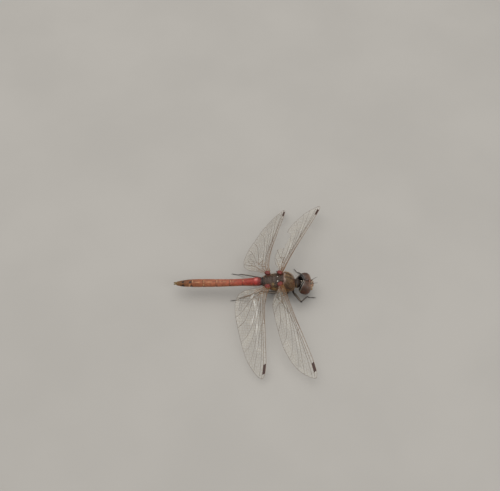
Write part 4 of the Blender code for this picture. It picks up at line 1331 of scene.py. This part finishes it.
def putLoops(store, plan, centres, walls):
    # the two strong lines of cell walls that run round the hindwing's loop
    for loop in plan["loops"]:
        guide = flatten(plan, *np.array(loop).T)
        steps = np.linspace(0, len(guide) - 1, 40)
        fine = np.stack([np.interp(steps, range(len(guide)), guide[:, i]) for i in (0, 1)], -1)
        way = traceWalls(centres, walls, guide[0], guide[-1], fine)
        putTube(store, plan, *unflatten(plan, way), wingLook["loopVein"])


def putStigma(store, plan):
    # the dark cell near the tip, a filled slab between the first vein and the radius
    lengthwise, crosswise = wingLook["stigmaGrid"]
    shift, slope = wingLook["stigmaSlant"]
    s = np.linspace(*plan["stigma"], lengthwise)
    rear = np.interp(s, plan["shares"], plan["lines"][2])
    slant = np.stack([s + shift + slope * f for f in np.linspace(0, 1, crosswise)], axis=1)
    across = rear[:, None] * np.linspace(0.02, 0.98, crosswise)
    crown = (wingLook["stigmaCrown"] * (1 - (np.linspace(-1, 1, crosswise) ** 4))[None]
             * np.ones((lengthwise, 1)))
    topSide = onWing(plan, slant, across, crown + wingLook["stigmaHeight"])
    underSide = onWing(plan, slant, across, -crown - wingLook["stigmaHeight"])
    rows = np.concatenate([topSide, underSide[:, ::-1]], axis=1)
    putRings(store, rows, paint(*wingLook["stigma"]))


def makeVeins(plan, finish):
    store = newStore()
    putMainVeins(store, plan)
    putRim(store, plan)
    count = putCells(store, plan)
    putStigma(store, plan)
    finishPiece(f"veins_{plan['word']}", store, (), finish)
    return count


def makeFilm(plan, finish):
    lengthwise, crosswise = wingLook["filmGrid"]
    s = np.linspace(0.0, wingLook["filmEnd"], lengthwise)[:, None] + np.zeros((1, crosswise))
    t = ((np.linspace(0, 1, crosswise) ** wingLook["filmCrowding"])[None]
         * np.interp(s, plan["shares"], plan["edge"]))
    half = wingLook["filmThickness"] / 2
    top, bottom = onWing(plan, s, t, half), onWing(plan, s, t, -half)
    rows = np.concatenate([top, bottom[:, ::-1]], axis=1)
    amber = ease(0.12, 0.015, s) * ease(1.3, 0.6, t + 3 * s)
    tints = blendTint(washed(paint(*wingLook["film"]), top), paint(*wingLook["amberFilm"]),
                      np.clip(amber, 0, 1))
    # painted glints: white reflections painted into the film's colour and opacity
    paintedGlint = sum(bell(s, along, length) * bell(t - slant * (s - along), place, width)
                 for along, place, length, width, slant in wingLook["glints"])
    paintedGlint = paintedGlint * (1.0 if plan["word"] == wingLook["shiniest"] else wingLook["otherGlints"])
    tints = blendTint(tints, paint(*wingLook["glint"]), np.clip(paintedGlint, 0, 1))
    tints = np.concatenate([tints, tints[:, ::-1]], axis=1)
    piece = ringPiece(f"film_{plan['word']}", rows, tints, [plan["word"]], finish)
    veil = wingLook["veil"] + (wingLook["amberVeil"] - wingLook["veil"]) * np.clip(amber, 0, 1)
    veil = veil + wingLook["shimmer"] * paintedGlint
    veil = np.concatenate([veil, veil[:, ::-1]], axis=1).ravel()
    veil = np.append(veil, [veil[0], veil[-1]]).astype(np.float32)
    piece.data.attributes.new(name="veil", type="FLOAT", domain="POINT").data.foreach_set("value", veil)
    return piece


def veinFinish():
    finish, tree, shader, place, tint = startFinish("vein", Roughness=0.4, IOR=1.5)
    grain = noise(tree, place, 0.3, 3.0)
    colour = shaded(tree, tint, grain, (0.8, 0.8, 0.8), (1.25, 1.22, 1.18))
    wear(tree, shader, colour, grain, (0.3, 0.7), (0.32, 0.5))
    return finish


def filmFinish():
    finish, tree, shader, place, tint = startFinish("film", Roughness=0.14, IOR=1.56)
    wrinkle = noise(tree, place, 0.9, 3.0)
    feed(tree, shader.inputs["Base Color"],
         shaded(tree, tint, wrinkle, (0.92, 0.93, 0.95), (1.0, 1.0, 0.98)))
    veil = addNode(tree, "Attribute", {}, attribute_name="veil").outputs["Fac"]
    # patches of painted sheen: the film is paler and more opaque in places
    sheen = ranged(tree, noise(tree, place, 2.6, 2.0), 0.42, 0.66, 0.75, 1.9)
    feed(tree, shader.inputs["Alpha"], sums(tree, "MULTIPLY", veil, sheen))
    bumped(tree, shader, wrinkle, 0.05, 0.6)
    return finish


# The soft pad at each wing root: its middle from the hinge along the wing, forward and up, and its radii
rootPads = {
    "middle": (-0.30, -0.04, -0.06), "hindShift": 0.40, "radii": (0.66, 0.80, 0.48),
    # grooves that fan out to the veins, as shares of its width
    "folds": (-0.66, -0.30, 0.06, 0.42, 0.74),
    "red": (128, 48, 40), "edge": (140, 92, 58), "dark": (72, 36, 28), "fold": (46, 26, 21),
}


def makeWingRoots(plans, finish):
    p = {key: paint(*rootPads[key]) for key in ("red", "edge", "dark", "fold")}
    for plan in plans:
        axes = np.stack([plan["along"], plan["forward"], plan["up"]])
        base = plan["hinge"] + plan["forward"] * (plan["lead"][0] - 0.5 * plan["chord"][0])
        local = ball((0, 0, 0), rootPads["radii"], rings=90, sides=120, axis=0, fullness=2.5)
        out = unit(local)
        a, f, u = (local[..., k] for k in range(3))
        fan = f / rootPads["radii"][1] + 0.10 * np.sin(3.0 * a + 1.0)
        groove = sum(bell(fan, at + 0.05 * a, 0.075) for at in rootPads["folds"]) * ease(-0.75, -0.3, a)
        step = (bell(a, -0.34 + 0.14 * np.sin(4 * f), 0.07)
                + 0.8 * bell(a, 0.28 + 0.10 * np.sin(5 * f + 1), 0.06))
        swell = 0.07 * bell(fan, -0.12, 0.18) + 0.08 * bell(fan, 0.58, 0.18) + 0.06 * bell(a, -0.05, 0.25)
        local = local + out * (0.7 * swell - 0.026 * groove - 0.014 * step)[..., None]
        shift = rootPads["hindShift"] * plan["word"].startswith("hind")
        centre = base + (np.array(rootPads["middle"]) + (shift, 0, 0)) @ axes
        rows = centre + local @ axes
        tints = layered(washed(p["red"], rows), p, (
            ("dark", 0.75 * ease(0.30, 0.05, u)),
            ("dark", 0.70 * ease(-0.36, -0.60, a) + 0.5 * ease(0.55, 0.85, np.abs(fan))),
            ("fold", 0.45 * np.clip(groove + 0.5 * step, 0, 1)),
            ("edge", 0.75 * ease(0.36, 0.62, a)),
        ))
        ringPiece(f"root_{plan['word']}", rows, tints, (), finish)
    print("wing roots done")


def rootFinish():
    finish, tree, shader, place, tint = startFinish("wingRoot", Roughness=0.45, IOR=1.45)
    mottle, wrinkle = noise(tree, place, 0.30, 4.0), noise(tree, place, 0.12, 2.0)
    colour = shaded(tree, tint, mottle, (0.55, 0.55, 0.55), (1.35, 1.22, 1.18))
    wear(tree, shader, colour, mottle, (0.3, 0.7), (0.36, 0.56))
    bumped(tree, shader, sums(tree, "ADD", wrinkle, mottle), 0.05, 0.6)
    return finish


# The coat: tufts of fine hair rooted in the skin
hair = {
    "depth": 0.03, "jitter": 0.035, "lengths": (0.6, 1.15), "shades": (0.7, 1.25), "lift": 0.15,
    "bend": 0.45, "thickness": (0.8, 1.2), "waist": 0.6, "uvMargin": 0.02, "uvStep": 0.0012,
    # one blade: three corners at the root, three at the waist and a tip
    "faces": [(0, 2, 1), (0, 1, 4, 3), (1, 2, 5, 4), (2, 0, 3, 5), (3, 4, 6), (4, 5, 6), (5, 3, 6)],
    "patch": [(0, 0), (1, 0), (2, 0), (0, 1), (1, 1), (2, 1), (1, 2)],
}
coats = {
    "thorax": {"slot": "thorax", "tufts": 6000, "blades": 3, "root": 0.0085, "spread": 0.30,
               "gold": (172, 140, 98), "share": 0.50},
    "tail": {"slot": "abdomen", "tufts": 2600, "blades": 2, "root": 0.007, "spread": 0.18,
             "gold": (150, 92, 62), "share": 0.4},
    "face": {"slot": "face", "tufts": 500, "blades": 1, "root": 0.007, "spread": 0.22,
             "gold": (60, 42, 32), "share": 0.6},
}


def pickRoots(rows, weights, count):
    # places on a skin, more of them where the weight is high, and their spots on its unwrap
    stations, around = rows.shape[:2]
    chances = np.clip(weights, 0, None).ravel()
    picked = dice.choice(len(chances), size=count, replace=False, p=chances / chances.sum())
    spots = np.stack([picked % around / around, picked // around / stations], -1)
    spots = spots * (1 - 2 * hair["uvMargin"]) + hair["uvMargin"]
    return picked, spots


def growCoat(kind, rows, out, tints, weights, lengths, lie, stand, finish):
    look, name = coats[kind], f"coat_{kind}"
    picked, spots = pickRoots(rows, weights, look["tufts"])

    def atRoots(field):
        width = field.shape[-1]
        field = np.broadcast_to(field, (*rows.shape[:2], width)).reshape(-1, width)[picked]
        return np.repeat(field, look["blades"], axis=0)

    roots, normals, colours, flow, size, upright = (
        atRoots(field)
        for field in (rows, out, tints, lie, np.asarray(lengths)[..., None], np.asarray(stand)[..., None]))
    spots = np.repeat(spots, look["blades"], axis=0)
    count = len(roots)
    flow = flow - normals * np.sum(flow * normals, axis=1, keepdims=True)
    shake = dice.normal(0, look["spread"], (count, 3))
    ahead = unit(normals * upright + unit(flow) * (1 - upright) + shake)
    rise = np.sum(ahead * normals, axis=1, keepdims=True)
    ahead = unit(ahead + normals * np.clip(hair["lift"] - rise, 0, None) * 1.5)
    size = size * dice.uniform(*hair["lengths"], (count, 1))
    roots = roots + (dice.normal(0, hair["jitter"], (count, 3)) - normals * hair["depth"])
    side = unit(np.cross(ahead, normals + 0.01))
    other = np.cross(side, ahead)
    bent = unit(ahead + unit(flow) * hair["bend"])
    middle = roots + ahead * size * 0.5
    tip = middle + bent * size * 0.5
    turn = np.arange(3) * 2 * math.pi / 3
    circle = [side * math.cos(a) + other * math.sin(a) for a in turn]
    thick = look["root"] * dice.uniform(*hair["thickness"], (count, 1))
    foot = [roots + c * thick for c in circle]
    waist = [middle + c * thick * hair["waist"] for c in circle]
    points = np.stack(foot + waist + [tip], axis=1)
    corners = points.shape[1]
    faces = [tuple(corner + corners * n for corner in face) for n in range(count) for face in hair["faces"]]
    colours = (blendTint(colours, paint(*look["gold"]), look["share"])
               * dice.uniform(*hair["shades"], (count, 1)))
    patch = np.array(hair["patch"]) * hair["uvStep"]
    mapped = (spots[:, None] + patch[None]).reshape(-1, 2)
    store = newStore()
    put(store, points, faces, np.repeat(colours[:, None], corners, axis=1).reshape(-1, 3))
    finishPiece(name, store, (), finish, mapped)
    print(name, "done,", count, "hairs")


def hairFinish():
    finish, tree, shader, place, tint = startFinish("hair", Roughness=0.5, IOR=1.5, Sheen_Weight=0.2)
    strand, patches = noise(tree, place, 0.25, 2.0), noise(tree, place, 1.1, 2.0)
    shade = mixed(tree, ranged(tree, strand, 0.3, 0.7), tone((0.8, 0.78, 0.75)), tone((1.3, 1.28, 1.22)))
    shade = mixed(tree, 1.0, shade, mixed(tree, ranged(tree, patches, 0.38, 0.62), tone((0.72, 0.66, 0.62)),
                                          tone((1.38, 1.28, 1.16))), "MULTIPLY")
    wear(tree, shader, mixed(tree, 1.0, tint, shade, "MULTIPLY"), strand, (0.3, 0.7), (0.42, 0.6))
    return finish


def pointSpacing(rows):
    # how far each point is from the next one round, so that close points aren't favoured
    return np.linalg.norm(np.roll(rows, -1, axis=1) - rows, axis=2)


def makeCoats(rows, out, tints, faceRows, faceTints, finish):
    x, y, z = rows[..., 0], rows[..., 1], rows[..., 2]
    wide, up, flank = np.abs(y), out[..., 2], np.abs(out[..., 1])
    spacing = pointSpacing(rows)
    front = ease(2.3, 2.6, x) * ease(5.72, 5.5, x)
    side = ease(-3.4, -2.6, x) * ease(5.6, 5.2, x) * ease(0.1, 0.5, flank + (up < 0))
    collar = 0.4 * bell(x, 6.02, 0.14) * ease(-0.2, 0.3, up)
    between = ease(-3.3, -2.8, x) * ease(2.4, 2.1, x) * ease(0.2, 0.6, up)
    bare = np.maximum(bell(crestGap(x, y), 0, 0.14) * ease(0.2, 0.5, up), sideBar(x, wide, z))
    bare = np.maximum(bare, ease(4.7, 5.0, x) * ease(1.7, 1.3, wide) * ease(0.1, 0.4, up))
    weights = (front + side * 0.8 + collar * 1.3 + between * 0.15) * spacing * (1 - 0.9 * bare)
    ridge = ease(7.1, 7.8, z)      # short on top of the shoulders
    lengths = ((0.36 + 0.28 * front * ease(0.9, 1.9, wide) + 0.16 * side + 0.20 * collar - 0.14 * between)
               * (1 - 0.62 * ridge))
    lie = np.stack([-0.25 + 0.5 * front, np.sign(y) * 0.45 * (1 - front), 0.35 + 0 * x], -1)
    growCoat("thorax", rows, out, tints, weights, lengths, lie, 0.55 + 0 * x, finish)
    base = ease(-7.6, -5.0, x) * ease(-3.72, -3.9, x)
    tail = ease(-3.7, -3.9, x) * (0.25 + 0.75 * ease(0.2, -0.6, up))
    growCoat("tail", rows, out, tints, (tail + 2.4 * base) * spacing, 0.13 + 0.20 * base,
             np.array([-1.0, 0, 0]), 0.22 + 0.25 * base, finish)
    faceOut = gridNormals(faceRows)
    h = (faceRows[..., 2] - head["faceCentre"][2]) / head["faceRadii"][2]
    faceWeights = (ease(0.15, 0.5, faceOut[..., 0]) * (0.3 + bell(h, 0.5, 0.3) + bell(h, -0.75, 0.15))
                   * pointSpacing(faceRows))
    growCoat("face", faceRows, faceOut, faceTints, faceWeights, np.full(h.shape, 0.17),
             np.array([0.3, 0, -0.5]), np.full(h.shape, 0.6), finish)


# Floor, light and camera
studio = {
    "floor": (176, 172, 166), "floorSize": 1.6,
    "world": (0.98, 0.98, 0.97), "worldStrength": 0.52,
    "lights": [   # place in metres, size, watts, colour
        ((-0.12, 0.16, 0.66), 0.85, 3.0, (1.0, 0.985, 0.96)),
        ((0.50, -0.35, 0.45), 0.40, 1.1, (0.95, 0.97, 1.0)),
    ],
    "eye": (-7.083, -135.247, 220.840), "tilt": 34.386, "lens": 64.8,
}


def makeStudio():
    bpy.context.scene.view_settings.view_transform = "Standard"
    work = bmesh.new()
    bmesh.ops.create_grid(work, x_segments=8, y_segments=8, size=studio["floorSize"] / 2)
    mesh = bpy.data.meshes.new("floor")
    work.to_mesh(mesh)
    work.free()
    floor = addObject("floor", mesh)
    finish, tree, shader, place, tint = startFinish("floorPaint", Roughness=0.75)
    cloud = noise(tree, place, 40.0, 3.0)
    plain = paint(*studio["floor"])
    colour = mixed(tree, ranged(tree, cloud, 0.3, 0.7), tone(plain * 0.97), tone(plain * 1.03))
    feed(tree, shader.inputs["Base Color"], colour)
    mesh.materials.append(finish)
    world = bpy.data.worlds.new("softRoom")
    world.use_nodes = True
    world.node_tree.nodes["Background"].inputs["Color"].default_value = (*studio["world"], 1.0)
    world.node_tree.nodes["Background"].inputs["Strength"].default_value = studio["worldStrength"]
    bpy.context.scene.world = world
    for number, (place, size, watts, colour) in enumerate(studio["lights"]):
        lamp = bpy.data.lights.new(f"softbox{number}", "AREA")
        lamp.size, lamp.energy, lamp.color = size, watts, colour
        held = addObject(f"softbox{number}", lamp)
        held.location = place
        held.rotation_euler = (-Vector(place)).to_track_quat("-Z", "Y").to_euler()
    camera = bpy.data.cameras.new("camera")
    camera.lens, camera.sensor_width = studio["lens"], 36.0
    camera.clip_start, camera.clip_end = 0.01, 10.0
    mounted = addObject("camera", camera)
    mounted.location = origin + np.array(studio["eye"]) * mm
    mounted.rotation_euler = (math.radians(studio["tilt"]), 0, 0)
    bpy.context.scene.camera = mounted
    print("studio done")


makeStudio()
skinRows, skinOut, skinTints = makeTrunk(cuticleFinish())
makeEyes(eyeFinish())
facePaste = faceFinish()
makeHeadShell(facePaste)
faceRows, faceTints = makeFace(facePaste)
makeMouth(facePaste)
limbPaint = legFinish()
makeFeelers(limbPaint)
makeLegs(limbPaint)
makeClaspers(facePaste)
plans = [planWing(word) for word in wingPoses]
veinPaint, filmPaint = veinFinish(), filmFinish()
for plan in plans:
    print(plan["word"], makeVeins(plan, veinPaint), "cell walls")
    makeFilm(plan, filmPaint)
makeWingRoots(plans, rootFinish())
makeCoats(skinRows, skinOut, skinTints, faceRows, faceTints, hairFinish())
